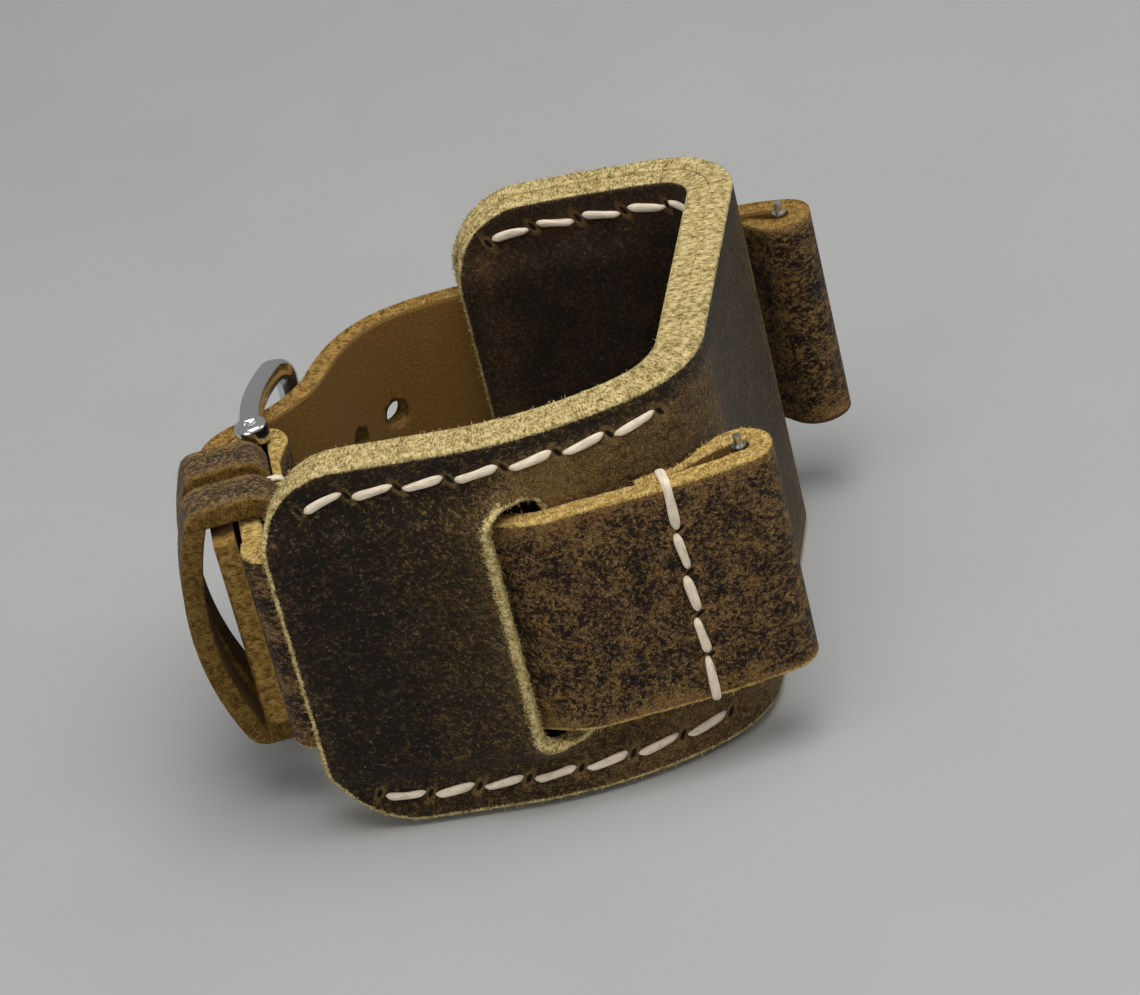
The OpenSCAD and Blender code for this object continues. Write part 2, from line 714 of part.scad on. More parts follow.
module bar_tip(p, w, up) {
    inside = tube_half(w) - lip_t - stop_gap;
    color(steel) translate([p[0], p[1], 0]) mirror([0, 0, up ? 0 : 1]) {
        translate([0, 0, inside - head_l]) cylinder(r = bore_r - bar_gap, h = head_l);
        translate([0, 0, inside - eps]) cylinder(r = neck_r, h = w / 2 - flange_t - inside + 2 * eps);
        translate([0, 0, w / 2 - flange_t]) cylinder(r = flange_r, h = flange_t);
        translate([0, 0, w / 2 - eps]) cylinder(r = pivot_r, h = pivot_l + eps);
    }
}

// The coil touches both heads; its wire has four sides and each turn eight steps
wire_r = 0.09;
coil_turns = 12;
coil_steps = 8;
coil_gap = 0.03;
module bar_spring(p, w) {
    top = tube_half(w) - lip_t - stop_gap - head_l - wire_r - coil_gap;
    r = bore_r - bar_gap - wire_r;
    n = coil_turns * coil_steps;
    pitch = 2 * top / coil_turns;
    tilt = atan(pitch / (2 * PI * r));
    echo("least gap between the coil's turns", pitch * cos(tilt) - 2 * wire_r);
    rings = [for (i = [0:n]) let (a = 360 * i / coil_steps, z = -top + 2 * top * i / n)
        [for (b = [0:90:270]) let (
            out = r + wire_r * cos(b), rise = wire_r * sin(b))
            [p[0] + out * cos(a) + rise * sin(tilt) * sin(a),
                p[1] + out * sin(a) - rise * sin(tilt) * cos(a),
                z + rise * cos(tilt)]]];
    color(brass) loft(rings);
}

far_bar_at = [bar_at[0], -bar_at[1]];
module near_bar_tube() bar_tube(bar_at, lug_w);
module near_bar_spring() bar_spring(bar_at, lug_w);
module near_bar_upper_tip() bar_tip(bar_at, lug_w, true);
module near_bar_lower_tip() bar_tip(bar_at, lug_w, false);
module far_bar_tube() bar_tube(far_bar_at, lug_w);
module far_bar_spring() bar_spring(far_bar_at, lug_w);
module far_bar_upper_tip() bar_tip(far_bar_at, lug_w, true);
module far_bar_lower_tip() bar_tip(far_bar_at, lug_w, false);
buckle_bar_w = 2 * arm_in - 0.1;
module buckle_bar_tube() bar_tube(close_bar, buckle_bar_w);
module buckle_bar_spring() bar_spring(close_bar, buckle_bar_w);
module buckle_bar_upper_tip() bar_tip(close_bar, buckle_bar_w, true);
module buckle_bar_lower_tip() bar_tip(close_bar, buckle_bar_w, false);

pad_outer();
pad_lining();
near_upper_stitches();
near_lower_stitches();
far_upper_stitches();
far_lower_stitches();
short_strap();
long_strap();
short_lug_stitches();
long_lug_stitches();
buckle_fold_stitches();
fixed_keeper();
free_keeper();
buckle_frame();
buckle_tongue();
near_bar_tube();
near_bar_spring();
near_bar_upper_tip();
near_bar_lower_tip();
far_bar_tube();
far_bar_spring();
far_bar_upper_tip();
far_bar_lower_tip();
buckle_bar_tube();
buckle_bar_spring();
buckle_bar_upper_tip();
buckle_bar_lower_tip();
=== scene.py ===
"""Pass-through watch strap: the leather, thread and metal of a two-piece strap that runs through a slotted pad."""
import math
import random

import bpy
import numpy as np
from bpy.props import FloatProperty, FloatVectorProperty, IntProperty, PointerProperty
from bpy.types import Operator, Panel, PropertyGroup
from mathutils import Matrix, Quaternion, Vector, noise


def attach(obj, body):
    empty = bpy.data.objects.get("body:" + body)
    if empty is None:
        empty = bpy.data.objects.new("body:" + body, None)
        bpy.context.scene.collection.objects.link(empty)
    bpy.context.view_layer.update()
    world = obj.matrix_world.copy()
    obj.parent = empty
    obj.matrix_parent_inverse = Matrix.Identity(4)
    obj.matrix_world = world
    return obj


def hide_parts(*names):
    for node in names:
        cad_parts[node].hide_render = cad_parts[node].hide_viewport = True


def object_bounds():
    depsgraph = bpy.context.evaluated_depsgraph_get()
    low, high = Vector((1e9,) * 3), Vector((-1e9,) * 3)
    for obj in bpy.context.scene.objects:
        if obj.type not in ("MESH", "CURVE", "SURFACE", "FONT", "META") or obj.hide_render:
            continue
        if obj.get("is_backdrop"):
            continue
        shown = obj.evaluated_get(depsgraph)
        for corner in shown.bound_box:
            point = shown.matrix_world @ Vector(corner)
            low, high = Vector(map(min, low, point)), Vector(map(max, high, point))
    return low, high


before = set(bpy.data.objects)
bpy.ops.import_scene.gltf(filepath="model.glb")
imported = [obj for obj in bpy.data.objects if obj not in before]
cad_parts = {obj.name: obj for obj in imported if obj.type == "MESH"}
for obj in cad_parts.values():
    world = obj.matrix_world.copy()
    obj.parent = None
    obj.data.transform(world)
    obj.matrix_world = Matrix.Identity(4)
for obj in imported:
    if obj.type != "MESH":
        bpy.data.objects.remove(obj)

bl_info = {
    "name": "Pass-through watch strap",
    "version": (1, 0, 0),
    "blender": (4, 5, 0),
    "location": "View3D > Sidebar > Strap",
    "description": "Builds the leather, thread and metal of a watch strap on its packed frame",
    "category": "Add Mesh",
}

MM = 0.001
UP = np.array([0.0, 0.0, 1.0])

# Fineness of the cut edges and the stitches
WALL_ROWS = 5
STITCH_STEPS = [k / 24 for k in range(25)]

# The stage, in metres and degrees; the floor lies a hair below the lowest edge
FLOOR_GAP, FLOOR_HALF = 0.00005, 3.0
LAMP_AIM = (-0.02, -0.005, 0.0)
CAMERA_AT, CAMERA_AIM, CAMERA_ROLL = (0.074438, -0.369973, 0.214255), (-0.01928, -0.004906, -0.002276), -14.287


def linear(code):
    """An sRGB hex colour as linear red, green and blue."""
    parts = [int(code[i:i + 2], 16) / 255 for i in (1, 3, 5)]
    return tuple(c / 12.92 if c <= 0.04045 else ((c + 0.055) / 1.055) ** 2.4 for c in parts)


# Settings that a user would change

def tint(name, description, code):
    return FloatVectorProperty(name=name, description=description, subtype="COLOR", default=linear(code))


def length(name, description, metres):
    return FloatProperty(name=name, description=description, default=metres, unit="LENGTH")


def power(name, description, watts):
    return FloatProperty(name=name, description=description, default=watts, unit="POWER")


class StrapSizes(PropertyGroup):
    """Fineness of the leather and its stitches."""

    cell: length("Cell", "Side of one mesh cell on the leather", 0.0005)
    rim: length("Edge rounding", "Rounding of the cut edges", 0.00028)
    rough: length("Edge roughness", "Unevenness of the cut edges", 0.0001)
    fuzz: FloatProperty(
        name="Fibres", description="Loose fibres on each millimetre of cut edge", default=16.0, min=0)
    thread: length("Thread", "Half width of the flat waxed thread", 0.00044)
    seed: IntProperty(name="Seed", description="Seed of the fibres and stitches", default=7)


class LeatherColours(PropertyGroup):
    """Colours of the leather, from its darkest wax to its rubbed fibres."""

    wax: tint("Wax", "Darkest waxed grain", "#171109")
    grain: tint("Grain", "Waxed grain in the light", "#31230f")
    pulled: tint("Pulled grain", "Grain lightened where it bends", "#574325")
    fibre: tint("Fibre", "Rubbed golden fibres", "#b8965c")
    cut: tint("Cut edge", "Raw cut edge in the light", "#d6c28c")
    cut_dark: tint("Cut edge shade", "Gaps among the raw fibres", "#9a8650")
    flesh: tint("Flesh side", "Suede back of the strap", "#8d6730")


class TrimColours(PropertyGroup):
    """Colours of the thread and the metal."""

    thread: tint("Thread", "Waxed cream thread", "#ecdcc2")
    steel: tint("Steel", "Polished stainless steel", "#cfd0d1")
    wire: tint("Wire", "Drawn spring wire", "#a9a79f")


class StageSettings(PropertyGroup):
    """Floor, lamps and camera."""

    floor: tint("Floor", "Plain pale floor", "#aaabaa")
    key: power("Key lamp", "Power of the lamp above", 3.9)
    fill: power("Fill lamp", "Power of the lamp in front", 0.8)
    lens: FloatProperty(
        name="Lens", description="Focal length in millimetres for a sensor 36 mm wide", default=137.01, min=1)


# The joint line of the pad's layers and the strap's route, in millimetres as in the construction

def arc(radius, angle):
    """A bend as a stretch of a run: its length and its turn."""
    return radius * math.radians(angle), -angle


NEAR_RUN = ((15.1, 0.0), arc(10.0, 54.8), arc(34.6, 31.0), (18.4, 0.0))
FAR_RUN = ((14.4, 0.0), arc(5.8, 89.7), (23.1, -13.0))
NEAR_LENGTH = sum(length for length, _ in NEAR_RUN)
FAR_LENGTH = sum(length for length, _ in FAR_RUN)
OUTER_T, LINING_T, STRAP_T, PAD_W = 2.36, 2.34, 2.2, 40.3
CORNER_R, SLOT_W, SLOT_L, SLOT_R, SLOT_FROM_END = 8.5, 5.0, 27.0, 1.9, 21.3
NEAR_SLOT, FAR_SLOT = NEAR_LENGTH - SLOT_FROM_END, FAR_LENGTH - SLOT_FROM_END
LIP_LIFT, LIP_L, SINK_L, TUNNEL_IN, TUNNEL_OUT = 2.9, 6.0, 5.0, 24.4, 32.0
LIE_GAP, BEFORE_SLOT, DIVE_L = 0.15, 0.7, 10.1
TUNNEL_HALF = (STRAP_T + 2 * LIE_GAP) / 2
STITCH_PITCH, STITCH_END, STITCH_EDGE = 4.9, 6.7, 2.94
NEAR_STITCHES, FAR_STITCHES, CROSS_STITCHES = 7, 5, 5
ROW_Z = PAD_W / 2 - STITCH_EDGE
CORNER_TURN, GROOVE, DENT = 0.9, 0.14, 0.12
LUG_W, BUCKLE_W, FLAP_T, LOOP_R, FLAP_LEN, LUG_ROW = 24.0, 22.0, 0.9, 1.0, 9.6, 6.6
FLAP_LIE, CLOSING_L, PARING_L = 0.1, 6.0, 5.0
BAR_AT = (2.5, -23.1)
CLOSE_BAR, CLOSE_A, LINE_L, FLAP_BACK, FOLD_ROW = (-47.9, -9.6), 106.5, 17.9, 9.2, 8.3
TAIL_GAP, TAIL_END, EXIT_L, FOLD_END_GAP = 0.6, 17.6, 0.2, 0.15
KEEPER_W, HOLE_R, SPARE_HOLES = 5.2, 1.15, (16.7, 10.2)
GATE_AT, GATE_HALF, GATE_R = 4.2, 1.6, 1.5
BUCKLE_L, FRAME_T, ARM_W, ARM_BOW, FRAME_TILT, LIFT_A = 13.8, 2.2, 2.2, 1.2, -2.0, 8.0
ARM_IN = BUCKLE_W / 2 + 0.4


def smooth(t):
    u = np.clip(t, 0, 1)
    return u * u * (3 - 2 * u)


def along(run, s):
    """Place and heading on the joint line, s millimetres from the middle of the seat."""
    x, y, heading = -OUTER_T, 0.0, -90.0
    for k, (length, turn) in enumerate(run):
        last = k == len(run) - 1
        step = s if last or s <= length else length
        swing = turn * step / length
        a, b = math.radians(heading), math.radians(heading + swing)
        if abs(turn) < 0.001:
            x, y = x + step * math.cos(a), y + step * math.sin(a)
        else:
            r = step / math.radians(swing) if abs(swing) > 1e-9 else 0.0
            x, y = x + r * (math.sin(b) - math.sin(a)), y - r * (math.cos(b) - math.cos(a))
        heading += swing
        s -= step
        if s <= 0 or last:
            break
    return x, y, heading


def ray(degrees):
    a = math.radians(degrees)
    return np.array([math.cos(a), math.sin(a)])


def off_by(place, d):
    """The place d millimetres to the left of its heading, out of the wrist."""
    return *(place[:2] + d * ray(place[2] + 90)), place[2]


def lift_at(s, slot):
    before = LIP_LIFT * smooth((s - slot + SLOT_W) / SLOT_W)
    after = TUNNEL_HALF + (LIP_LIFT - TUNNEL_HALF) * (1 - np.clip((s - slot) / LIP_L, 0, 1)) ** 2
    return np.where(s < slot, before, after)


def sink_at(s, slot):
    return TUNNEL_HALF * smooth((s - slot + 1) / SINK_L)


def across(z):
    return 1 - smooth((np.abs(z) - TUNNEL_IN / 2) / ((TUNNEL_OUT - TUNNEL_IN) / 2))


def dive_at(s, slot):
    fall = OUTER_T + LIE_GAP + STRAP_T / 2
    return OUTER_T + LIE_GAP - fall * float(smooth((s - slot + SLOT_W + BEFORE_SLOT) / DIVE_L))


def dive_angle(s, slot):
    return math.degrees(math.atan((dive_at(s - 0.05, slot) - dive_at(s + 0.05, slot)) / 0.1))


def curve_at(p, q, k0, k1, t):
    """A curve that leaves p along its heading and meets q along its own."""
    a, d = np.array(p[:2]), np.array(q[:2])
    b, c = a + k0 * ray(p[2]), d - k1 * ray(q[2])
    u = 1 - t
    xy = u ** 3 * a + 3 * u * u * t * b + 3 * u * t * t * c + t ** 3 * d
    v = u * u * (b - a) + 2 * u * t * (c - b) + t * t * (d - c)
    return *xy, math.degrees(math.atan2(v[1], v[0]))


def spread(a, b, step):
    count = max(1, math.ceil((b - a) / step))
    return [a + (b - a) * k / count for k in range(count + 1)]


def station(place, half, lean=0.0):
    """One station of a strap: x, y, direction of the outer face, thickness and half width."""
    x, y, heading = place
    return x, y, heading + 90 + lean, STRAP_T, half


def round_bar(centre, heading, first, last, half):
    """Stations round a bar, from one direction to another."""
    return [(*(centre + LOOP_R * ray(heading + turn)), heading + turn, STRAP_T, half)
            for turn in range(first, last - 1, -6)]


class Route:
    """How one strap piece runs from its lug bar to the end of its wing, worked out toward -Y."""

    def __init__(self, run, slot, length, leave, meet, pull):
        self.run, self.slot, self.length, self.leave, self.meet, self.pull = run, slot, length, leave, meet, pull
        self.start = off_by((*BAR_AT, leave), LOOP_R)
        self.lean = dive_angle(slot - meet, slot)
        x, y, heading = self.on_wing(slot - meet)
        self.end = x, y, heading - self.lean
        self.reach = math.hypot(x - self.start[0], y - self.start[1])

    def on_wing(self, s):
        return off_by(along(self.run, s), dive_at(s, self.slot))

    def leaf(self, t):
        return curve_at(self.start, self.end, *self.pull, t)

    def flap_gap(self, d):
        return FLAP_LIE + (2 * LOOP_R - FLAP_LIE) * (1 - float(smooth(d / CLOSING_L)))

    def lug_end(self):
        """Stations of the flap, the turn round the bar and the leaf."""
        rows = []
        for d in spread(0, FLAP_LEN, 0.4)[:0:-1]:
            p = self.leaf(d / self.reach)
            rows.append((*off_by(p, -self.flap_gap(d))[:2], p[2] - 90, flap_thick(d), LUG_W / 2))
        rows += round_bar(BAR_AT, self.leave, 270, 90, LUG_W / 2)
        return rows + [station(self.leaf(k / 24), LUG_W / 2, self.lean * k / 24) for k in range(1, 25)]

    def pass_through(self):
        start, end = self.slot - self.meet, self.length + EXIT_L
        return [station(self.on_wing(s), (LUG_W + (BUCKLE_W - LUG_W) * (s - start) / (end - start)) / 2)
                for s in spread(start, end, 0.4)[1:]]

    def exit(self):
        return self.on_wing(self.length + EXIT_L)


def flap_thick(d):
    return FLAP_T + (STRAP_T - FLAP_T) * (1 - float(smooth(d / PARING_L)))


def on_line(u, w):
    """A place on the line along which the short strap runs to the buckle bar."""
    return CLOSE_BAR - u * ray(CLOSE_A) + w * ray(CLOSE_A + 90)


NEAR_ROUTE = Route(NEAR_RUN, NEAR_SLOT, NEAR_LENGTH, 205.0, SLOT_W + BEFORE_SLOT, (10.0, 7.0))
FAR_ROUTE = Route(FAR_RUN, FAR_SLOT, FAR_LENGTH, 188.0, 1.5, (6.0, 4.0))


def short_route():
    """The short piece: past its wing, along the closing line, round the buckle bar and back."""
    start, end, half = NEAR_ROUTE.exit(), (*on_line(LINE_L, LOOP_R), CLOSE_A), BUCKLE_W / 2
    rows = NEAR_ROUTE.lug_end() + NEAR_ROUTE.pass_through()
    rows += [station(curve_at(start, end, 1.5, 1.5, k / 24), half) for k in range(1, 25)]
    rows += [station((*on_line(d, LOOP_R), CLOSE_A), half) for d in spread(0, LINE_L, 0.5)[-2:0:-1]]
    rows += round_bar(CLOSE_BAR, CLOSE_A, 90, -90, half)
    return rows + [(*on_line(d, -LOOP_R), CLOSE_A - 90, flap_thick(d), half)
                   for d in spread(0, FLAP_BACK, 0.45)[1:]]


def long_route():
    """The long piece, with y turned over at the end: past its wing, under the front bar, over the bar."""
    squeeze, mirrored = (-43.2, -3.4, -262.0), (CLOSE_BAR[0], -CLOSE_BAR[1])
    over_in, over_out = 150.0, -CLOSE_A - 180

    def over_bar(heading):
        return off_by((*mirrored, heading), LOOP_R + STRAP_T + TAIL_GAP)

    places = [curve_at(FAR_ROUTE.exit(), squeeze, 9.0, 8.0, k / 50) for k in range(1, 51)]
    places += [curve_at(squeeze, over_bar(over_in), 4.2, 3.2, k / 16) for k in range(1, 17)]
    places += [over_bar(over_in + (over_out + 360 - over_in) * k / 12) for k in range(1, 13)]
    last = over_bar(over_out + 360)
    places += [(*(last[:2] + d * ray(over_out)), last[2]) for d in spread(0, TAIL_END, 0.5)[1:]]
    rows = FAR_ROUTE.lug_end() + FAR_ROUTE.pass_through() + [station(p, BUCKLE_W / 2) for p in places]
    return [(x, -y, -turn, thick, half) for x, y, turn, thick, half in rows]


def level(x, y):
    """Places or directions in the strap's own plane."""
    return np.stack([x, y, 0 * x], -1)


class Rail:
    """A line with an outward direction at each point, read at any distance along it."""

    def __init__(self, points, outward, thick=0.0, half=0.0):
        self.points, self.outward, self.thick, self.half = points, outward, thick, half
        gaps = np.linalg.norm(np.diff(self.points + self.outward, axis=0), axis=1)
        self.s = np.concatenate([[0], np.cumsum(np.maximum(gaps, 1e-6))])
        self.length = self.s[-1]

    def at(self, s):
        base, out = (np.stack([np.interp(s, self.s, rows[:, k]) for k in range(3)], -1)
                     for rows in (self.points, self.outward))
        return base, out / np.linalg.norm(out, axis=-1, keepdims=True)

    def gaps(self, point):
        """Distances from a place in the plane to the middle of the leather's thickness."""
        middle = self.points + STRAP_T / 2 * self.outward
        return np.linalg.norm(middle[:, :2] - point, axis=1)

    def nearest(self, point):
        return self.s[int(self.gaps(point).argmin())]


def strap_rail(rows):
    x, y, turn, thick, half = np.array(rows).T
    turn = np.radians(turn)
    return Rail(level(x, y), level(np.cos(turn), np.sin(turn)), thick, half)


class PadRail:
    """The joint line of the pad's layers: s runs from the far wing's end, below nothing, to the near one's."""

    def __init__(self):
        self.s = np.arange(-FAR_LENGTH - 1, NEAR_LENGTH + 1, 0.1)
        x, y, heading = np.array([along(FAR_RUN, -s) if s < 0 else along(NEAR_RUN, s) for s in self.s]).T
        side, turn = np.where(self.s < 0, -1.0, 1.0), np.radians(heading + 90)
        self.points, self.outward = level(x, side * y), level(np.cos(turn), side * np.sin(turn))

    at = Rail.at


# Leather pieces as thick sheets with cut edges

def rounded_box(x, y, half_x, half_y, r):
    """Distance outside a rectangle with rounded corners; below nothing inside it."""
    dx, dy = np.abs(x) - half_x + r, np.abs(y) - half_y + r
    return np.hypot(np.maximum(dx, 0), np.maximum(dy, 0)) + np.minimum(np.maximum(dx, dy), 0) - r


def edge_rows(thick, rim_out, rim_in):
    """Profile of a cut edge from the outer face to the inner: (outward, height) pairs."""
    profile = [(rim_out * math.sin(a), thick - rim_out * (1 - math.cos(a)))
               for a in map(math.radians, (35, 65, 90))]
    top, low = thick - rim_out, rim_in
    profile += [(rim_out, top + (low - top) * k / WALL_ROWS) for k in range(1, WALL_ROWS)]
    profile += [(rim_out - rim_in * (1 - math.sin(a)), rim_in * (1 - math.cos(a)))
                for a in map(math.radians, (90, 55, 20))]
    return profile


def unit(way):
    return way / max(np.linalg.norm(way), 1e-9)


def loose_fibre(rnd, root, way, up, run):
    """Five points of a fibre on a cut edge: a short tuft or, one time in three, a longer hair."""
    lean = unit(way * (0.8 + 0.4 * rnd.random()) + run * rnd.uniform(-0.9, 0.9) + up * rnd.uniform(-0.6, 0.8))
    bend = np.cross(lean, [rnd.uniform(-1, 1) for _ in range(3)])
    hair = rnd.random() < 0.35
    size = rnd.uniform(0.28, 0.62) if hair else rnd.uniform(0.10, 0.24)
    wide = unit(np.cross(lean, up)) * (rnd.uniform(0.018, 0.032) if hair else rnd.uniform(0.05, 0.11))
    mid, tip = root + lean * size * 0.55 + bend * size * 0.12, root + lean * size + bend * size * 0.4
    return [root - wide, root + wide, mid + wide * 0.8, mid - wide * 0.8, tip]


def onto_cut(cut, s, z):
    """Moves the points of a stepped rim onto the curve along which the sheet is cut."""
    d = 0.01
    for _ in range(3):
        gap = cut(s, z)
        gs, gz = (cut(s + d, z) - cut(s - d, z)) / (2 * d), (cut(s, z + d) - cut(s, z - d)) / (2 * d)
        size, near = np.maximum(gs * gs + gz * gz, 0.2), np.abs(gap) < 1.0
        s, z = np.where(near, s - gs * gap / size, s), np.where(near, z - gz * gap / size, z)
    return s, z


def leather_sheet(name, rail, s, v, half, low, high, paint, rims, cut=None, axis=UP, closed=False, seam=None,
                  bare=None, fuzz=1.0, flesh=-1, bald=1e9):
    """A mesh of a thick sheet: faces on both sides, cut edges between them, and loose fibres on the edges.

    s and v are its stations along the rail and across it, half its half width, low and high its two
    faces over the rail. cut is below nothing inside its outline. paint gives its nap and seam its
    stitches. flesh is the side with the suede, and past bald no fibres stand.
    """
    sizes = bpy.context.scene.strap_sizes
    rnd = random.Random(sizes.seed * 101 + sum(map(ord, name)))
    rough, fuzz = sizes.rough / MM, fuzz * sizes.fuzz
    n, m = len(s), len(v)
    flat_s, flat_z = np.repeat(s, m), (v[None, :] * half(s)[:, None]).ravel()
    i = np.arange(n if closed else n - 1)[:, None]
    a, b = i * m + np.arange(m - 1), ((i + 1) % n) * m + np.arange(m - 1)
    quads = np.stack([a, b, b + 1, a + 1], -1).reshape(-1, 4)
    if cut:
        quads = quads[cut(flat_s[quads].mean(1), flat_z[quads].mean(1)) < 0]
    edges = set(map(tuple, np.concatenate([quads[:, [k, (k + 1) % 4]] for k in range(4)]).tolist()))
    rim_edges = sorted(e for e in edges if (e[1], e[0]) not in edges)
    rim = sorted({p for e in rim_edges for p in e})
    if cut:
        flat_s[rim], flat_z[rim] = onto_cut(cut, flat_s[rim], flat_z[rim])

    base, out = rail.at(flat_s)
    heights = low(flat_s, flat_z), high(flat_s, flat_z)
    inner, outer = (base + out * h[:, None] + axis * flat_z[:, None] for h in heights)
    used = np.unique(quads)
    order, count = {p: k for k, p in enumerate(used.tolist())}, len(used)
    index = np.searchsorted(used, quads)
    faces = index[:, ::-1].tolist() + (index + count).tolist()

    push = {}
    for p, q in rim_edges:
        way = unit(np.cross(outer[q] - outer[p], out[p]))
        for k in (p, q):
            push[k] = push.get(k, 0) - way
    # At each point of the rim: the way out of the edge, the way up its wall, and the leather's thickness
    edge_at = {p: (unit(push[p]), unit(outer[p] - inner[p]), np.linalg.norm(outer[p] - inner[p])) for p in rim}
    first, points, places = {}, [], []
    for p in rim:
        way, up, thick = edge_at[p]
        rim_out, rim_in = (min(r, 0.4 * thick) for r in rims)
        profile = edge_rows(thick, rim_out, rim_in)
        first[p] = 2 * count + len(points)
        for k, (aside, height) in enumerate(profile):
            spot = Vector((flat_s[p] * 1.1, flat_z[p] * 1.1, height * 1.6))
            bulge = noise.noise(spot) + 0.6 * noise.noise(spot * 2.7)
            points.append(inner[p] + up * height + way * aside
                          + way * rough * bulge * (1.0 if 0 < k < len(profile) - 1 else 0.3))
            flow = height - aside if height > thick / 2 else height + aside - 2 * rim_out
            places.append((flat_s[p], flat_z[p], flow))
    for p, q in rim_edges:
        here, there = ((order[e], *range(first[e], first[e] + len(profile)), order[e] + count) for e in (p, q))
        faces += [[here[k], there[k], there[k + 1], here[k + 1]] for k in range(len(here) - 1)]

    for p, q in rim_edges:
        number = fuzz * np.linalg.norm(outer[q] - outer[p]) if flat_s[p] < bald else 0.0
        for _ in range(int(number) + (rnd.random() < number % 1)):
            t = rnd.random()
            way, up, thick = edge_at[p]
            height = thick * rnd.random() ** 0.7
            lift = 1.0 if height > 0.85 * thick else 0.0
            root = inner[p] + (inner[q] - inner[p]) * t + up * height + way * (rims[0] * (0.98 - 0.45 * lift))
            start = 2 * count + len(points)
            points += loose_fibre(rnd, root, way, up, unit(outer[q] - outer[p]))
            places += [(flat_s[p] + rnd.uniform(-2, 2), flat_z[p], height)] * 5
            faces += [[start, start + 1, start + 2, start + 3], [start + 3, start + 2, start + 4]]

    mesh = smooth_mesh(name, np.concatenate([outer[used], inner[used], points]), faces)
    where = np.stack([flat_s, flat_z, heights[1] - heights[0]], -1)[used]
    where = np.concatenate([where, where * (1, 1, 0), places])
    side = np.repeat([1, -1, 0], [count, count, len(points)])
    raw = np.where(np.isin(used, rim), 0.62, 0.0)
    raw = np.concatenate([raw, raw, np.ones(len(points))])
    s, z = where[:, 0], where[:, 1]
    if bare:
        raw = np.maximum(raw, bare(s, z) * (side != flesh))
    row = seam(s, z) if seam else np.zeros((len(side), 3))
    for key, values in (("leather_mm", where), ("seam", row * np.abs(side)[:, None]), ("raw", raw),
                        ("nap", paint(s, z)), ("flesh", np.where(side == flesh, 1.0, 0.0))):
        point_values(mesh, key, values)
    mesh.validate()
    return new_object(name, mesh)


def smooth_mesh(name, verts, faces):
    """A smoothly shaded mesh from places in millimetres."""
    mesh = bpy.data.meshes.new(name)
    mesh.from_pydata((np.array(verts) * MM).tolist(), [], faces)
    mesh.polygons.foreach_set("use_smooth", [True] * len(mesh.polygons))
    return mesh


def point_values(mesh, name, values):
    """A named value, or a vector of three, at each point of a mesh."""
    values = np.asarray(values, np.float32)
    vector = values.ndim == 2
    layer = mesh.attributes.new(name, "FLOAT_VECTOR" if vector else "FLOAT", "POINT")
    layer.data.foreach_set("vector" if vector else "value", values.ravel())


def new_object(name, mesh):
    made = bpy.data.objects.new(name, mesh)
    bpy.context.scene.collection.objects.link(made)
    return made


def dress(piece, body, slot, material, *nodes):
    """Gives a piece its material and its body, and hides the construction's nodes that it stands for. The slot is
    not used.
    """
    piece.data.materials.append(material)
    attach(piece, body)
    if nodes:
        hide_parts(*nodes)


def steps(a, b, cell):
    return np.linspace(a, b, max(2, int(round((b - a) / cell)) + 1))


def bell(x, width):
    return np.exp(-(x / width) ** 2)


def hole_phase(s):
    """Stitch number along the pad's rows, whole at each hole, and whether a row runs there."""
    near = (NEAR_LENGTH - STITCH_END - s) / STITCH_PITCH + 0.5
    far = (FAR_LENGTH - STITCH_END + s) / STITCH_PITCH + 0.5
    number = np.where(s > 0, near, far)
    last = np.where(s > 0, NEAR_STITCHES, FAR_STITCHES)
    return number, (number > -0.3) & (number < last + 0.3)


def pad_seam(s, z):
    """Stitch number and distance from the row, whose first hole lies inward as the corner turns."""
    number, on = hole_phase(s)
    turned = CORNER_TURN * bell(number, 0.4)
    return np.stack([number, np.abs(z) - ROW_Z + turned, on.astype(float)], -1)


def slot_gap(s, z, more=0.0):
    """Distance outside the punched slot, taken wider all round by so much."""
    centre = np.where(s > 0, NEAR_SLOT - SLOT_W / 2, -FAR_SLOT + SLOT_W / 2)
    return rounded_box(s - centre, z, SLOT_W / 2 + more, SLOT_L / 2 + more, SLOT_R + more)


def pad_edge(s, z):
    """Distance from the wing's end and from the nearest edge of the pad."""
    end = np.where(s > 0, NEAR_LENGTH - s, FAR_LENGTH + s)
    return end, np.minimum(PAD_W / 2 - np.abs(z), end)


def pad_nap(s, z):
    """How far the wax has pulled away: little on the wings, more at the slots and the bends; lighter along every
    edge.
    """
    away, slot = np.abs(s), np.where(s > 0, NEAR_SLOT, FAR_SLOT)
    end, edge = pad_edge(s, z)
    bend = bell(np.maximum(away - 24, 0), 9) * (1 - 0.6 * smooth((19 - away) / 9))
    low = smooth((-z - 10) / 8)
    band = (0.14 + 0.3 * smooth((48 - away) / 20)) * smooth((-z - ROW_Z) / 1.5)
    between = (1 - smooth((away - slot + 6) / 7)) * smooth((away - 19) / 6) * smooth((z + 6) / 10)
    worn = (0.01 + 0.52 * np.exp(-np.maximum(slot_gap(s, z), 0) / 3.4) + 0.60 * bend + 0.12 * low
            + 0.68 * between * (1 - bend) + 0.10 * bell(end - 14, 4))
    inside = smooth((edge - 1.0) / 2.2)
    return worn * inside + 0.10 * (1 - inside) + 0.22 * np.exp(-edge / 0.5) + band


def slot_bare(s, z):
    """Bare leather round the slots, where the strap has rubbed the grain off the lip."""
    gap, behind = slot_gap(s, z), np.abs(s) - np.where(s > 0, NEAR_SLOT, FAR_SLOT)
    return (0.80 - 0.45 * np.maximum(gap - 0.2, 0) / 0.8) * (behind > -1.5) * (np.abs(gap) < 1.6)


def lining_nap(s, z):
    _, edge = pad_edge(s, z)
    return 0.16 + 0.3 * np.exp(-edge / 0.9) + 0.22 * bell(edge - 2.9, 1.6)


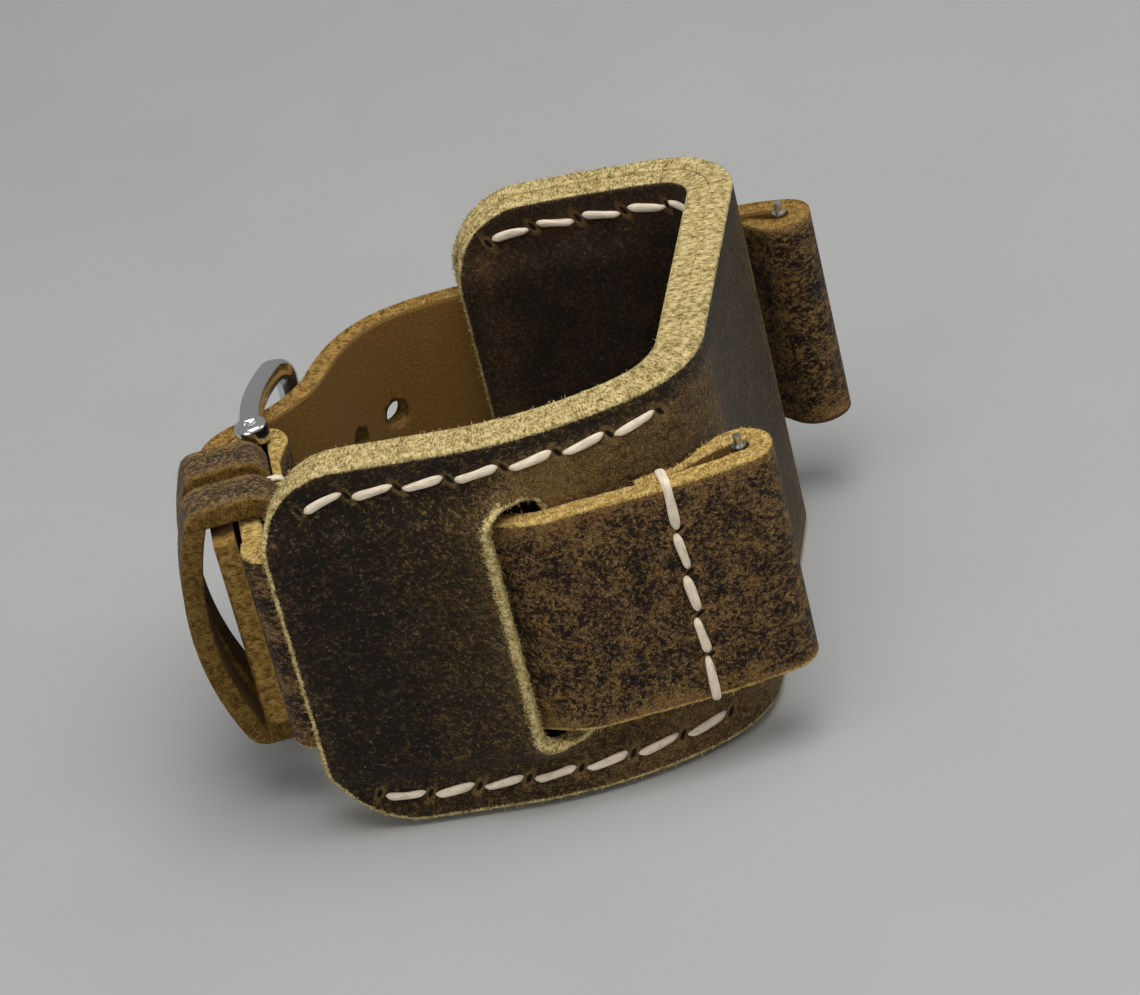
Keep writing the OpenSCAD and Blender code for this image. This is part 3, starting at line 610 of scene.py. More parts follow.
def strap_nap(s, z):
    return 0.42 + 0.75 * np.exp(-np.maximum(LUG_W / 2 - np.abs(z), 0) / 1.1)


# Materials

def add(tree, kind, inputs, out=0, **settings):
    """Adds a node with its settings, sets or links its inputs, and gives back one of its outputs."""
    node = tree.nodes.new("ShaderNode" + kind)
    for key, value in settings.items():
        setattr(node, key, value)
    for key, value in inputs.items():
        if isinstance(value, bpy.types.NodeSocket):
            tree.links.new(value, node.inputs[key])
        else:
            node.inputs[key].default_value = value
    return node.outputs[out]


def calc(tree, operation, *values, **settings):
    return add(tree, "Math", dict(enumerate(values)), operation=operation, **settings)


def clouds(tree, place, scale, detail, roughness=0.5, distortion=0.0):
    return add(tree, "TexNoise", {"Vector": place, "Scale": scale, "Detail": detail, "Roughness": roughness,
                                  "Distortion": distortion})


def stretched(tree, place, *factors):
    return add(tree, "VectorMath", {0: place, 1: factors}, operation="MULTIPLY")


def remap(tree, value, low, high, start, end, kind="LINEAR"):
    return add(tree, "MapRange", {"Value": value, "From Min": low, "From Max": high, "To Min": start,
                                  "To Max": end}, interpolation_type=kind)


def blend(tree, share, *colours):
    """Mixes two colours, each a socket or its red, green and blue."""
    a, b = (c if isinstance(c, bpy.types.NodeSocket) else (*c, 1.0) for c in colours)
    return add(tree, "Mix", {"Factor": share, 6: a, 7: b}, 2, data_type="RGBA")


def ramp(tree, value, *stops):
    """A colour ramp whose stops are (place, colour)."""
    colour = add(tree, "ValToRGB", {"Fac": value})
    elements = colour.node.color_ramp.elements
    while len(elements) < len(stops):
        elements.new(0.5)
    for element, (place, shade) in zip(elements, stops):
        element.position, element.color = place, (*shade, 1.0)
    return colour


def bump(tree, height, strength, distance):
    return add(tree, "Bump", {"Height": height, "Strength": strength, "Distance": distance})


def new_tree(name):
    material = bpy.data.materials.new(name)
    material.use_nodes = True
    material.node_tree.nodes.clear()
    return material, material.node_tree


def finish(material, inputs):
    """Ends a material in one Principled shader."""
    tree = material.node_tree
    shader = add(tree, "BsdfPrincipled", inputs)
    tree.links.new(shader, tree.nodes.new("ShaderNodeOutputMaterial").inputs["Surface"])
    return material


def darker(colour, share):
    return [share * c for c in colour]


def leather_material(name, dark, mid, light, patches, grit, curls, shine, edge=(1.0, 1.0, 1.0)):
    """Pull-up leather: oiled and waxed grain that goes pale where it bends, with short curly fibres
    0.1 mm thick, a granular khaki edge where it was cut, and a suede back."""
    look = bpy.context.scene.leather_colours
    material, tree = new_tree(name)
    place, seam = (add(tree, "Attribute", {}, 1, attribute_name=layer) for layer in ("leather_mm", "seam"))
    nap, raw, back = (add(tree, "Attribute", {}, 2, attribute_name=layer) for layer in ("nap", "raw", "flesh"))

    # Wax lies in patches 1 to 3 mm across; pores and creases are 0.3 to 0.6 mm apart
    patch_scale, contrast = patches
    patch = clouds(tree, place, patch_scale, 3.0, 0.62)
    pores = clouds(tree, place, 2.4, 3.0, 0.7, 0.6)
    speck = clouds(tree, place, 7.0, 1.0)
    crease = add(tree, "TexVoronoi", {"Vector": place, "Scale": 1.5, "Randomness": 1.0},
                 feature="DISTANCE_TO_EDGE")

    # Fibres are the thin level lines of two warped noises, which curl as rubbed leather fibres do
    moved = add(tree, "VectorMath", {0: place, 1: (31.0, 17.0, 5.0)}, operation="ADD")
    levels = [calc(tree, "ABSOLUTE", calc(tree, "SUBTRACT", warp, 0.5)) for warp in (
        clouds(tree, place, 2.0, 2.0, 0.6, 1.6), clouds(tree, moved, 3.0, 2.0, 0.6, 1.2))]
    curl = remap(tree, calc(tree, "MINIMUM", *levels), 0.006, 0.044, 1.0, 0.0, "SMOOTHSTEP")

    # Slanted awl holes 0.9 mm long at each whole number of the seam, with pulled grain round them; the holes are
    # painted near black, a painted shade for their depth
    number, aside, on = add(tree, "SeparateXYZ", {0: seam}).node.outputs
    turn = calc(tree, "SUBTRACT", calc(tree, "FRACT", calc(tree, "ADD", number, 0.5)), 0.5)
    slant = calc(tree, "MULTIPLY_ADD", aside, 0.45, calc(tree, "MULTIPLY", turn, 4.8))
    slant = calc(tree, "MULTIPLY", slant, 2.0)
    radius = calc(tree, "ADD", calc(tree, "MULTIPLY", slant, slant), calc(tree, "MULTIPLY", aside, aside))
    pulled = calc(tree, "MULTIPLY_ADD", remap(tree, radius, 0.3, 2.2, 0.6, 0.0), on, nap)

    waxed = calc(tree, "MULTIPLY_ADD", patch, contrast, -0.5 * contrast)
    gritty = calc(tree, "MULTIPLY_ADD", pores, grit, -0.5 * grit)
    tone = calc(tree, "ADD", calc(tree, "ADD", pulled, waxed), gritty, use_clamp=True)
    face = ramp(tree, tone, (0.0, dark), (0.42, mid), (0.95, light))
    raised = calc(tree, "MULTIPLY_ADD", tone, 0.36, pores)
    fibre_share = calc(tree, "MULTIPLY", curl, remap(tree, raised, 0.55, 0.80, 0.0, curls))
    face = blend(tree, fibre_share, face, blend(tree, speck, darker(look.fibre, 0.4), look.fibre))

    # Suede back: fibres under 0.2 mm, brushed both ways
    suede = ramp(tree, clouds(tree, place, 3.4, 4.0, 0.7), (0.35, darker(look.flesh, 0.62)), (0.68, look.flesh))
    face = blend(tree, back, face, suede)

    # Cut edge: fibre ends 0.1 to 0.2 mm thick, in soft clumps
    grains = clouds(tree, stretched(tree, place, 5.2, 5.2, 1.9), 1.0, 3.0, 0.7)
    clumps = clouds(tree, place, 1.2, 2.0)
    clumped = calc(tree, "MULTIPLY_ADD", clumps, 0.36, calc(tree, "MULTIPLY", grains, 0.64))
    bright, deep = ([c * t for c, t in zip(colour, edge)] for colour in (look.cut, look.cut_dark))
    fray = ramp(tree, clumped, (0.36, darker(deep, 0.4)), (0.45, deep), (0.58, bright))
    ragged = calc(tree, "MULTIPLY_ADD", speck, 0.7, -0.35)
    bare = remap(tree, calc(tree, "ADD", raw, ragged), 0.42, 0.62, 0.0, 1.0, "SMOOTHSTEP")
    hole = calc(tree, "MULTIPLY", remap(tree, radius, 0.12, 0.42, 1.0, 0.0, "SMOOTHSTEP"), on)
    # Painted shade: the awl holes are painted near black for the shade inside them
    colour = blend(tree, hole, blend(tree, bare, face, fray), (0.006, 0.004, 0.003))

    rub = calc(tree, "MAXIMUM", calc(tree, "MAXIMUM", bare, back), fibre_share)
    ridges = calc(tree, "MULTIPLY_ADD", curl, 0.35, calc(tree, "MULTIPLY", pores, 0.8))
    grain_side = calc(tree, "ADD", ridges, remap(tree, crease, 0.0, 0.16, -0.35, 0.0))
    height = add(tree, "Mix", {"Factor": bare, 2: grain_side, 3: calc(tree, "MULTIPLY", clumped, 2.6)})
    height = calc(tree, "MULTIPLY_ADD", hole, -2.5, height)
    return finish(material, {
        "Base Color": colour, "Roughness": remap(tree, rub, 0.0, 1.0, shine, 0.92), "IOR": 1.5,
        "Normal": bump(tree, height, 0.75, 0.00012), "Specular IOR Level": 0.10, "Sheen Weight": 0.04,
        "Sheen Roughness": 0.5})


def thread_material():
    """Waxed linen thread, flat braid: soft gloss, with strands 0.15 mm wide along its length."""
    look = bpy.context.scene.trim_colours
    material, tree = new_tree("waxed_linen_thread")
    place = add(tree, "Attribute", {}, 1, attribute_name="thread_mm")
    strands = clouds(tree, stretched(tree, place, 0.8, 5.5, 1.0), 1.0, 3.0, 0.6)
    colour = ramp(tree, strands, (0.28, darker(look.thread, 0.66)), (0.55, look.thread))
    grime = remap(tree, clouds(tree, place, 0.9, 2.0), 0.55, 0.75, 0.0, 0.35)
    return finish(material, {
        "Base Color": blend(tree, grime, colour, linear("#a8906a")), "Roughness": 0.48, "IOR": 1.46,
        "Normal": bump(tree, strands, 0.6, 0.0001), "Sheen Weight": 0.1, "Sheen Roughness": 0.4})


def polished_steel_material():
    """Cast and buffed stainless steel: mirror gloss broken by hairline scratches and faint pitting."""
    material, tree = new_tree("buffed_stainless_steel")
    place = add(tree, "TexCoord", {}, 3)
    scratches = clouds(tree, stretched(tree, place, 9000.0, 700.0, 2500.0), 1.0, 2.0)
    smears = clouds(tree, place, 260.0, 3.0)
    return finish(material, {
        "Base Color": (*bpy.context.scene.trim_colours.steel, 1.0), "Metallic": 1.0,
        "Roughness": remap(tree, smears, 0.3, 0.7, 0.05, 0.2), "Normal": bump(tree, scratches, 0.12, 0.00002)})


def turned_metal_material(name, colour, pitch, roughness):
    """Turned or drawn metal: fine tool rings round the axis, as far apart as the feed of the lathe."""
    material, tree = new_tree(name)
    place = add(tree, "TexCoord", {}, 3)
    rings = clouds(tree, stretched(tree, place, 60.0, 60.0, 1 / pitch), 1.0, 2.0)
    tarnish = remap(tree, clouds(tree, place, 400.0, 3.0), 0.4, 0.8, 0.0, 0.4)
    return finish(material, {
        "Base Color": blend(tree, tarnish, colour, darker(colour, 0.55)), "Metallic": 1.0,
        "Roughness": remap(tree, rings, 0.0, 1.0, 0.7 * roughness, 1.3 * roughness),
        "Normal": bump(tree, rings, 0.35, 0.00003)})


# Pieces

class OBJECT_OT_strap_pad(Operator):
    """Two-layer pad: the slotted outer layer and its lining"""

    bl_idname = "object.strap_pad"
    bl_label = "Pad layers"

    def execute(self, context):
        sizes, look = context.scene.strap_sizes, context.scene.leather_colours
        cell, rim = sizes.cell / MM, sizes.rim / MM
        rail = PadRail()
        s = steps(-FAR_LENGTH + rim, NEAR_LENGTH - rim, cell)
        v = np.linspace(-1, 1, int(round((PAD_W - 2 * rim) / cell)) + 1)
        middle, reach = (NEAR_LENGTH - FAR_LENGTH) / 2, (NEAR_LENGTH + FAR_LENGTH) / 2

        def outline(s, z):
            return rounded_box(s - middle, z, reach - rim, PAD_W / 2 - rim, CORNER_R - rim)

        def slotted(s, z):
            return np.maximum(outline(s, z), -slot_gap(s, z, rim))

        def parted(s, z, rise):
            return rise(np.abs(s), np.where(s > 0, NEAR_SLOT, FAR_SLOT)) * across(z)

        def groove(s, z):
            _, on = hole_phase(s)
            return GROOVE * on * bell(np.abs(z) - ROW_Z, 0.65)

        def half(s):
            return np.full(len(s), PAD_W / 2 - rim)

        outer = leather_sheet(
            "pad_outer_leather", rail, s, v, half,
            lambda s, z: parted(s, z, lift_at),
            lambda s, z: OUTER_T + parted(s, z, lift_at) - groove(s, z),
            cut=slotted, rims=(rim * 1.3, 0.12), paint=pad_nap, seam=pad_seam, bare=slot_bare)
        lining = leather_sheet(
            "pad_lining_leather", rail, s, v, half,
            lambda s, z: -LINING_T - parted(s, z, sink_at) + groove(s, z),
            lambda s, z: -parted(s, z, sink_at),
            cut=outline, rims=(0.12, rim * 1.3), paint=lining_nap, seam=pad_seam, flesh=2)
        # Oiled and waxed through the grain: dark with a soft gloss, and browner where it bends
        waxed = leather_material(
            "waxed_pull_up_leather", look.wax, look.grain, look.pulled, (0.36, 0.55), 0.7, 0.8, 0.52)
        # Pressed smooth for the skin, so it has few fibres and an even brown
        smooth_grain = leather_material(
            "smooth_lining_leather", look.wax, linear("#302013"), linear("#5e4426"), (0.25, 0.7), 0.3, 0.35, 0.6)
        dress(outer, "root", "grain_leather", waxed, "pad_outer")
        dress(lining, "root", "lining_leather", smooth_grain, "pad_lining")
        return {"FINISHED"}


class OBJECT_OT_strap_pieces(Operator):
    """Short and long strap pieces, folded round their bars"""

    bl_idname = "object.strap_pieces"
    bl_label = "Strap pieces"

    def execute(self, context):
        sizes = context.scene.strap_sizes
        cell, rim = sizes.cell / MM, sizes.rim / MM
        for short, rows, finish_name, edge in (
                (True, short_route(), "mottled_pull_up_leather", (0.95, 0.82, 0.60)),
                # The long piece's darker edge tint is a painted shade
                (False, long_route(), "handled_pull_up_leather", (0.56, 0.42, 0.24))):
            node = "short_strap" if short else "long_strap"
            # Waxed hot and then rubbed: black wax in small patches among golden fibres. The long piece's cut edges
            # are painted darker all along, a painted shade for the shadow that the keepers cast on its tail
            leather = leather_material(
                finish_name, linear("#120b06"), linear("#2a1a0f"), linear("#644221"), (0.42, 1.8), 1.8, 1.0, 0.55,
                edge=edge)
            rail = strap_rail(rows)
            route = NEAR_ROUTE if short else FAR_ROUTE
            row_s = rail.nearest(mid_leather(route.leaf(LUG_ROW / route.reach), short))
            fold_s = rail.nearest(on_line(FOLD_ROW, LOOP_R)) if short else -99.0
            end = rail.length - rim - (FOLD_END_GAP if short else 0.0)

            def seam(s, z):
                by_fold = np.abs(s - fold_s) < 2
                number = z / (np.where(by_fold, BUCKLE_W, LUG_W) / CROSS_STITCHES) + CROSS_STITCHES / 2
                aside = np.where(by_fold, s - fold_s, s - row_s)
                inside = (number > 0.5) & (number < CROSS_STITCHES - 0.5)
                return np.stack([number, aside, ((np.abs(aside) < 2) & inside).astype(float)], -1)

            piece = leather_sheet(
                node + "_leather", rail, steps(rim, end, cell), np.linspace(-1, 1, int(LUG_W / cell) + 1),
                lambda s: np.interp(s, rail.s, rail.half) - rim,
                lambda s, z: 0 * s,
                lambda s, z: np.interp(s, rail.s, rail.thick) - DENT * bell(s - row_s, 0.7),
                cut=gate_cut(rail, rim) if short else tail_cut(rail, rim), rims=(rim, rim), paint=strap_nap,
                seam=seam, fuzz=0.8, bald=end - 1.0 if short else 1e9)
            dress(piece, "root", "strap_leather", leather, node)
        return {"FINISHED"}


def mid_leather(place, near):
    """The middle of the leather's thickness at a place on a route, which is turned over on the far side."""
    x, y, _ = off_by(place, STRAP_T / 2)
    return x, y if near else -y


def buckle_place(x, y, lift=0.0):
    """A place in the buckle's own frame, turned and moved to its bar."""
    t = math.radians(FRAME_TILT + lift)
    return (CLOSE_BAR[0] + x * math.cos(t) - y * math.sin(t), CLOSE_BAR[1] + x * math.sin(t) + y * math.cos(t))


BOW_R = (BUCKLE_L ** 2 / 4 + ARM_BOW ** 2) / (2 * ARM_BOW)
FRONT = BUCKLE_L + FRAME_T / 2
TIP_R, ROOT_R, TONGUE_ROOT = 0.75, 0.95, (-0.8, 0.0)
REST_Y = FRONT - ARM_W
REST_X = BOW_R - ARM_BOW - math.sqrt((BOW_R + FRAME_T / 2) ** 2 - (REST_Y - BUCKLE_L / 2) ** 2) - 0.09 - TIP_R
TONGUE_TIP = (TONGUE_ROOT[0] + (REST_X - TONGUE_ROOT[0]) * (BUCKLE_L + 1.2) / REST_Y, BUCKLE_L + 1.2)


def gate_cut(rail, rim):
    """Room for the tongue in the fold at the buckle bar."""
    first, last = (rail.nearest(on_line(GATE_AT, side * (LOOP_R + STRAP_T / 2))) for side in (1, -1))

    def cut(s, z):
        return -rounded_box(s - (first + last) / 2, z, (last - first) / 2 + rim, GATE_HALF + rim, GATE_R + rim)
    return cut


def tail_cut(rail, rim):
    """The hole that the tongue has drawn long and the spare holes behind it."""
    crossing = []
    for lift in (0.0, 2 * LIFT_A):
        line = [buckle_place(TONGUE_ROOT[0] + (TONGUE_TIP[0] - TONGUE_ROOT[0]) * k / 60,
                             TONGUE_TIP[1] * k / 60, lift) for k in range(60)]
        crossing.append(rail.nearest(min(line[10:], key=lambda p: rail.gaps(p)[len(rail.s) // 2:].min())))
    low, high = min(crossing), max(crossing)
    tail = rail.nearest(mid_leather(FAR_ROUTE.exit(), False))
    spare = [tail + place for place in SPARE_HOLES]

    def cut(s, z):
        gap = np.hypot(np.maximum(np.abs(s - (low + high) / 2) - (high - low) / 2, 0), z)
        for place in spare:
            gap = np.minimum(gap, np.hypot(s - place, z))
        return HOLE_R + rim - gap
    return cut


class OBJECT_OT_strap_keepers(Operator):
    """Fixed and free keeper: closed leather loops with raw edges"""

    bl_idname = "object.strap_keepers"
    bl_label = "Keepers"

    def execute(self, context):
        sizes, look = context.scene.strap_sizes, context.scene.leather_colours
        cell, rim = sizes.cell / MM, sizes.rim / MM
        # Cut narrow and burnished on its edges by the tail, so those are brown, not pale
        material = leather_material(
            "keeper_leather", look.wax, linear("#3a2a1a"), linear("#6f5230"), (0.6, 1.0), 1.2, 1.0, 0.5,
            edge=(0.31, 0.225, 0.115))
        top = LOOP_R + 2 * STRAP_T + TAIL_GAP + 0.3
        for name, body, slot, low, thick, at in (
                ("fixed_keeper", "root", "grain_leather", LOOP_R - 0.2, 1.6, 2.2),
                ("free_keeper", "free_keeper", "keeper_leather", LOOP_R - 0.35, 2.1, 10.2)):
            rail = keeper_rail(low, top, at)
            count = int(rail.length / cell)
            piece = leather_sheet(
                name + "_leather", rail, np.arange(count) * rail.length / count,
                np.linspace(-1, 1, int(KEEPER_W / cell) + 1), lambda s: np.full(len(s), KEEPER_W / 2 - rim),
                lambda s, z: 0 * s, lambda s, z: thick + 0 * s, rims=(rim, rim), axis=strap_way(), closed=True,
                paint=lambda s, z: 0.45 + 0.25 * (np.abs(z) > 1.8), fuzz=0.6,
                bald=rail.length - BUCKLE_W + 0.8)
            dress(piece, body, slot, material, name)
        return {"FINISHED"}


def strap_way():
    return np.array([*-ray(CLOSE_A), 0.0])


def keeper_rail(low, high, at):
    """The inside of a keeper, round the fold and the tail, bowed outward over them."""
    half, corner, bow = BUCKLE_W / 2 + 0.6, 1.0, 2.3
    over = (half * half + bow * bow) / (2 * bow)
    reach = math.asin(half / over)
    line = [(low + corner + corner * c, -half + corner + corner * s, c, s)
            for c, s in (ray(180 + 90 * k / 12) for k in range(13))]
    line += [(x, -half, 0.0, -1.0) for x in spread(low + corner, high, 0.5)[1:]]
    line += [(high, -half, math.sin(t), -math.cos(t)) for t in spread(0.1, math.pi / 2 - reach, 0.12)]
    line += [(high + bow - over + over * math.cos(t), over * math.sin(t), math.cos(t), math.sin(t))
             for t in spread(-reach, reach, 0.5 / over)]
    line += [(x, -z, nx, -nz) for x, z, nx, nz in line[::-1] if z < -half + corner + 1e-6 or x == high]
    line = [row for k, row in enumerate(line) if k == 0 or row != line[k - 1]]
    line += [(low, half - corner - k * 0.5, -1.0, 0.0) for k in range(1, int((2 * half - 2 * corner) / 0.5))]
    line.append(line[0])
    x, z, nx, nz = np.array(line).T[:, :, None]
    out, middle = np.array([*ray(CLOSE_A + 90), 0.0]), np.array([*on_line(at + KEEPER_W / 2, 0.0), 0.0])
    return Rail(middle + out * x + UP * z, out * nx + UP * nz)


class OBJECT_OT_strap_thread(Operator):
    """Saddle stitches in waxed thread along the pad and across the strap"""

    bl_idname = "object.strap_thread"
    bl_label = "Thread"

    def execute(self, context):
        material, rail, rows = thread_material(), PadRail(), {}
        for side, sign, length, count in (("near", 1, NEAR_LENGTH, NEAR_STITCHES),
                                          ("far", -1, FAR_LENGTH, FAR_STITCHES)):
            holes = [sign * (length - STITCH_END + STITCH_PITCH * (0.5 - k)) for k in range(count + 1)]
            for edge, z in (("upper", ROW_Z), ("lower", -ROW_Z)):
                rows[side + "_" + edge] = [
                    pad_stitch(rail, p, q, z, height, facing, 0.0 if k else CORNER_TURN)
                    for height, facing in ((OUTER_T, 1), (-LINING_T, -1))
                    for k, (p, q) in enumerate(zip(holes, holes[1:]))]
        for name, route, sign in (("short_lug", NEAR_ROUTE, 1), ("long_lug", FAR_ROUTE, -1)):
            ends = (off_by(route.leaf(LUG_ROW / route.reach), d)
                    for d in (STRAP_T, -route.flap_gap(LUG_ROW) - flap_thick(LUG_ROW)))
            rows[name] = cross_row(*(np.array([x, sign * y, 0.0]) for x, y, _ in ends), LUG_W)
        ends = (np.array([*on_line(FOLD_ROW, w), 0.0]) for w in (LOOP_R + STRAP_T, -LOOP_R - flap_thick(FOLD_ROW)))
        rows["buckle_fold"] = cross_row(*ends, BUCKLE_W, proud=0.0)
        for name, stitches in rows.items():
            dress(thread_mesh(name + "_thread", stitches), "root", "waxed_thread", material, name + "_stitches")
        return {"FINISHED"}


def stitch_rise(t, rise, hump, run_in):
    """Height of a stitch over the leather, between its two holes."""
    return -0.5 + rise * float(smooth(min(t, 1 - t) / run_in)) + hump * math.sin(math.pi * t)


def pad_stitch(rail, p, q, z, height, facing, turn):
    """One stitch on the pad: up out of its hole, along the leather and down the next, a little aslant."""
    line, ups = [], []
    for t in STITCH_STEPS:
        base, out = rail.at(np.array([p + (q - p) * (0.07 + 0.86 * t)]))
        aslant = 0.66 * (t - 0.5) * facing - turn * math.copysign((1 - t) ** 2, z)
        line.append(base[0] + out[0] * (height + facing * stitch_rise(t, 0.5, 0.05, 0.17)) + UP * (z + aslant))
        ups.append(out[0] * facing)
    return line, ups


def cross_row(top, low, width, proud=0.1):
    """Stitches across a strap, whose first and last go round its edges."""
    facing = unit(top - low)
    side = np.cross(facing, UP)
    pitch = width / CROSS_STITCHES
    holes = [-width / 2 + pitch * k for k in range(1, CROSS_STITCHES)]
    stitches = []
    for place, way in ((top, facing), (low, -facing)):
        for p, q in zip(holes, holes[1:]):
            line = [place + way * stitch_rise(t, 0.5 + proud, 0.06, 0.15)
                    + UP * (p + (q - p) * (0.06 + 0.88 * t)) + side * (0.46 * (t - 0.5)) for t in STITCH_STEPS]
            stitches.append((line, [way] * len(line)))
    for sign in (-1, 1):
        inner, edge = sign * (width / 2 - pitch), sign * (width / 2 + 0.22)
        over, under = ([place - way * 0.5 + UP * (inner + sign * 0.1),
                        place + way * proud + UP * (inner + sign * 0.75),
                        place + way * proud + UP * (edge - sign * 0.9),
                        place - way * 0.45 + UP * edge] for place, way in ((top, facing), (low, -facing)))
        line = smooth_line(np.array([*over, (top + low) / 2 + UP * edge, *under[::-1]]), 8)
        middle = (top + low) / 2 + UP * (sign * (width / 2 - 1.6))
        stitches.append((line, line - middle))
    return stitches


def smooth_line(knots, per):
    """A curve through the knots, with so many points to each stretch."""
    ends = np.vstack([2 * knots[0] - knots[1], knots, 2 * knots[-1] - knots[-2]])
    line = []
    for k in range(1, len(ends) - 2):
        a, b, c, d = ends[k - 1:k + 3]
        line += [0.5 * (2 * b + (c - a) * t + (2 * a - 5 * b + 4 * c - d) * t * t + (3 * b - a - 3 * c + d) * t ** 3)
                 for t in (n / per for n in range(per))]
    return np.array([*line, knots[-1]])


def turns(count):
    return [2 * math.pi * n / count for n in range(count)]


def ahead_at(line, k):
    """Direction of a line at one of its points."""
    return unit(np.subtract(line[min(k + 1, len(line) - 1)], line[max(k - 1, 0)]))


def thread_mesh(name, stitches):
    """Flat waxed thread of two strands laid along each line, narrower where it enters the leather."""
    sizes = bpy.context.scene.strap_sizes
    rnd = random.Random(sizes.seed * 31 + sum(map(ord, name)))
    wide, tall = sizes.thread / MM, 0.27
    shells, where = [], []
    for line, ups in stitches:
        gone = np.concatenate([[0], np.cumsum(np.linalg.norm(np.diff(line, axis=0), axis=1))])
        fat, offset, swing = rnd.uniform(0.93, 1.07), rnd.uniform(0, 40), rnd.uniform(0, 6.28)
        rings = []
        for k, point in enumerate(line):
            ahead = ahead_at(line, k)
            up = unit(ups[k] - ahead * (ups[k] @ ahead))
            narrow = 0.5 + 0.5 * float(smooth(min(gone[k], gone[-1] - gone[k]) / 1.25))
            across_way, ring = np.cross(ahead, up) * wide * fat * narrow, []
            for t in turns(16):
                strand = 1 + 0.09 * math.cos(2 * (t + swing) + gone[k] * 1.3)
                ring.append(point + across_way * strand * math.cos(t) + up * tall * strand * math.sin(t))
                where.append((offset + gone[k], wide * t, offset))
            rings.append(ring)
        shells.append((rings, False))
    mesh = shell_mesh(name, shells)
    point_values(mesh, "thread_mm", where)
    return new_object(name, mesh)


class OBJECT_OT_strap_buckle(Operator):
    """Bowed pin buckle: frame with its eyes, and tongue"""

    bl_idname = "object.strap_buckle"
    bl_label = "Buckle"

    def execute(self, context):
        steel = polished_steel_material()
        for name, shells in (("buckle_frame", frame_shells()), ("buckle_tongue", tongue_shells())):
            dress(solid_piece(name + "_steel", shells), name, "buckle_steel", steel, name)
        return {"FINISHED"}


def bow_x(y):
    """How far the frame's middle line bows out at y along it."""
    return BOW_R - ARM_BOW - math.sqrt(BOW_R ** 2 - (y - BUCKLE_L / 2) ** 2)


def placed(x, y, z):
    return *buckle_place(x, y), z


def eye_shell(profile, sign=1):
    """A ring turned round the buckle bar from (radius, height) pairs."""
    return [[placed(r * math.cos(t), r * math.sin(t) * sign, sign * h) for t in turns(40)] for r, h in profile], True


def frame_shells():
    """The frame's bent bar and its two eyes, as (rings, closed) in millimetres."""
    z, corner, square = ARM_IN + ARM_W / 2, 2.3, 3.4
    path = [(y, z) for y in spread(0.3, BUCKLE_L - corner, 0.5)]
    path += [(BUCKLE_L - corner + corner * math.sin(t), z - corner + corner * math.cos(t))
             for t in spread(0, math.pi / 2, 0.13)[1:]]
    path += [(BUCKLE_L, 0.0)]
    path += [(y, -w) for y, w in path[-2::-1]]
    line = [np.array([bow_x(y), y, w]) for y, w in path]
    rings = []
    for k, point in enumerate(line):
        way = ahead_at(line, k)
        aside = unit(np.cross(way, [1.0, 0.0, 0.0]))
        out = np.cross(aside, way)
        ring = []
        for c, d in ((math.cos(t), math.sin(t)) for t in turns(28)):
            size = (abs(c) ** square + abs(d) ** square) ** (-1 / square)
            ring.append(placed(*(point + size * (c * aside * ARM_W / 2 + d * out * FRAME_T / 2))))
        rings.append(ring)
    near, far = ARM_IN, ARM_IN + ARM_W
    profile = [(0.47, near + 0.02), (1.35, near + 0.02), (1.62, near + 0.14), (1.7, near + 0.4),
               (1.7, far - 0.55), (1.6, far - 0.26), (1.38, far - 0.08), (1.1, far - 0.01), (0.72, far),
               (0.55, far - 0.06), (0.47, far - 0.2)]
    return [(rings, False), eye_shell(profile, -1), eye_shell(profile)]


def tongue_shells():
    """The tongue's eye round the bar and its tapered pin, with a rounded tip."""
    half_eye = [(0.97, 0.85), (1.2, 0.95), (1.55, 0.95), (1.74, 0.84), (1.8, 0.6)]
    root, tip = np.array([*TONGUE_ROOT, 0.0]), np.array([*TONGUE_TIP, 0.0])
    length, way = np.linalg.norm(tip - root), unit(tip - root)
    aside = np.array([-way[1], way[0], 0.0])
    profile = [(0.2, 0.35), (0.75, 0.7)] + [(d, ROOT_R + (TIP_R - ROOT_R) * d / length)
                                            for d in spread(1.2, length, 0.6)]
    profile += [(length + TIP_R * math.sin(t), TIP_R * math.cos(t)) for t in (0.3, 0.6, 0.9, 1.2, 1.5)]
    rings = [[placed(*(root + way * d + r * (aside * math.cos(t) + UP * math.sin(t)))) for t in turns(24)]
             for d, r in profile]
    return [eye_shell([(r, -h) for r, h in half_eye] + half_eye[::-1]), (rings, False)]


def shell_mesh(name, shells):
    """A mesh of shells, each a list of rings joined in order; a closed one joins its last to its first."""
    verts, faces = [], []
    for rings, closed in shells:
        start, size, count = len(verts), len(rings[0]), len(rings)
        for k in range(count if closed else count - 1):
            a, b = start + k * size, start + (k + 1) % count * size
            faces += [[a + n, a + (n + 1) % size, b + (n + 1) % size, b + n] for n in range(size)]
        if not closed:
            faces += [list(range(start, start + size))[::-1],
                      list(range(start + (count - 1) * size, start + count * size))]
        for ring in rings:
            verts += ring
    return smooth_mesh(name, verts, faces)


def solid_piece(name, shells):
    """A piece of shells, with the faces turned outward."""
    made = new_object(name, shell_mesh(name, shells))
    bpy.context.view_layer.objects.active = made
    made.select_set(True)
    bpy.ops.object.mode_set(mode="EDIT")
    bpy.ops.mesh.select_all(action="SELECT")
    bpy.ops.mesh.normals_make_consistent(inside=False)
    bpy.ops.object.mode_set(mode="OBJECT")
    made.select_set(False)
    return made


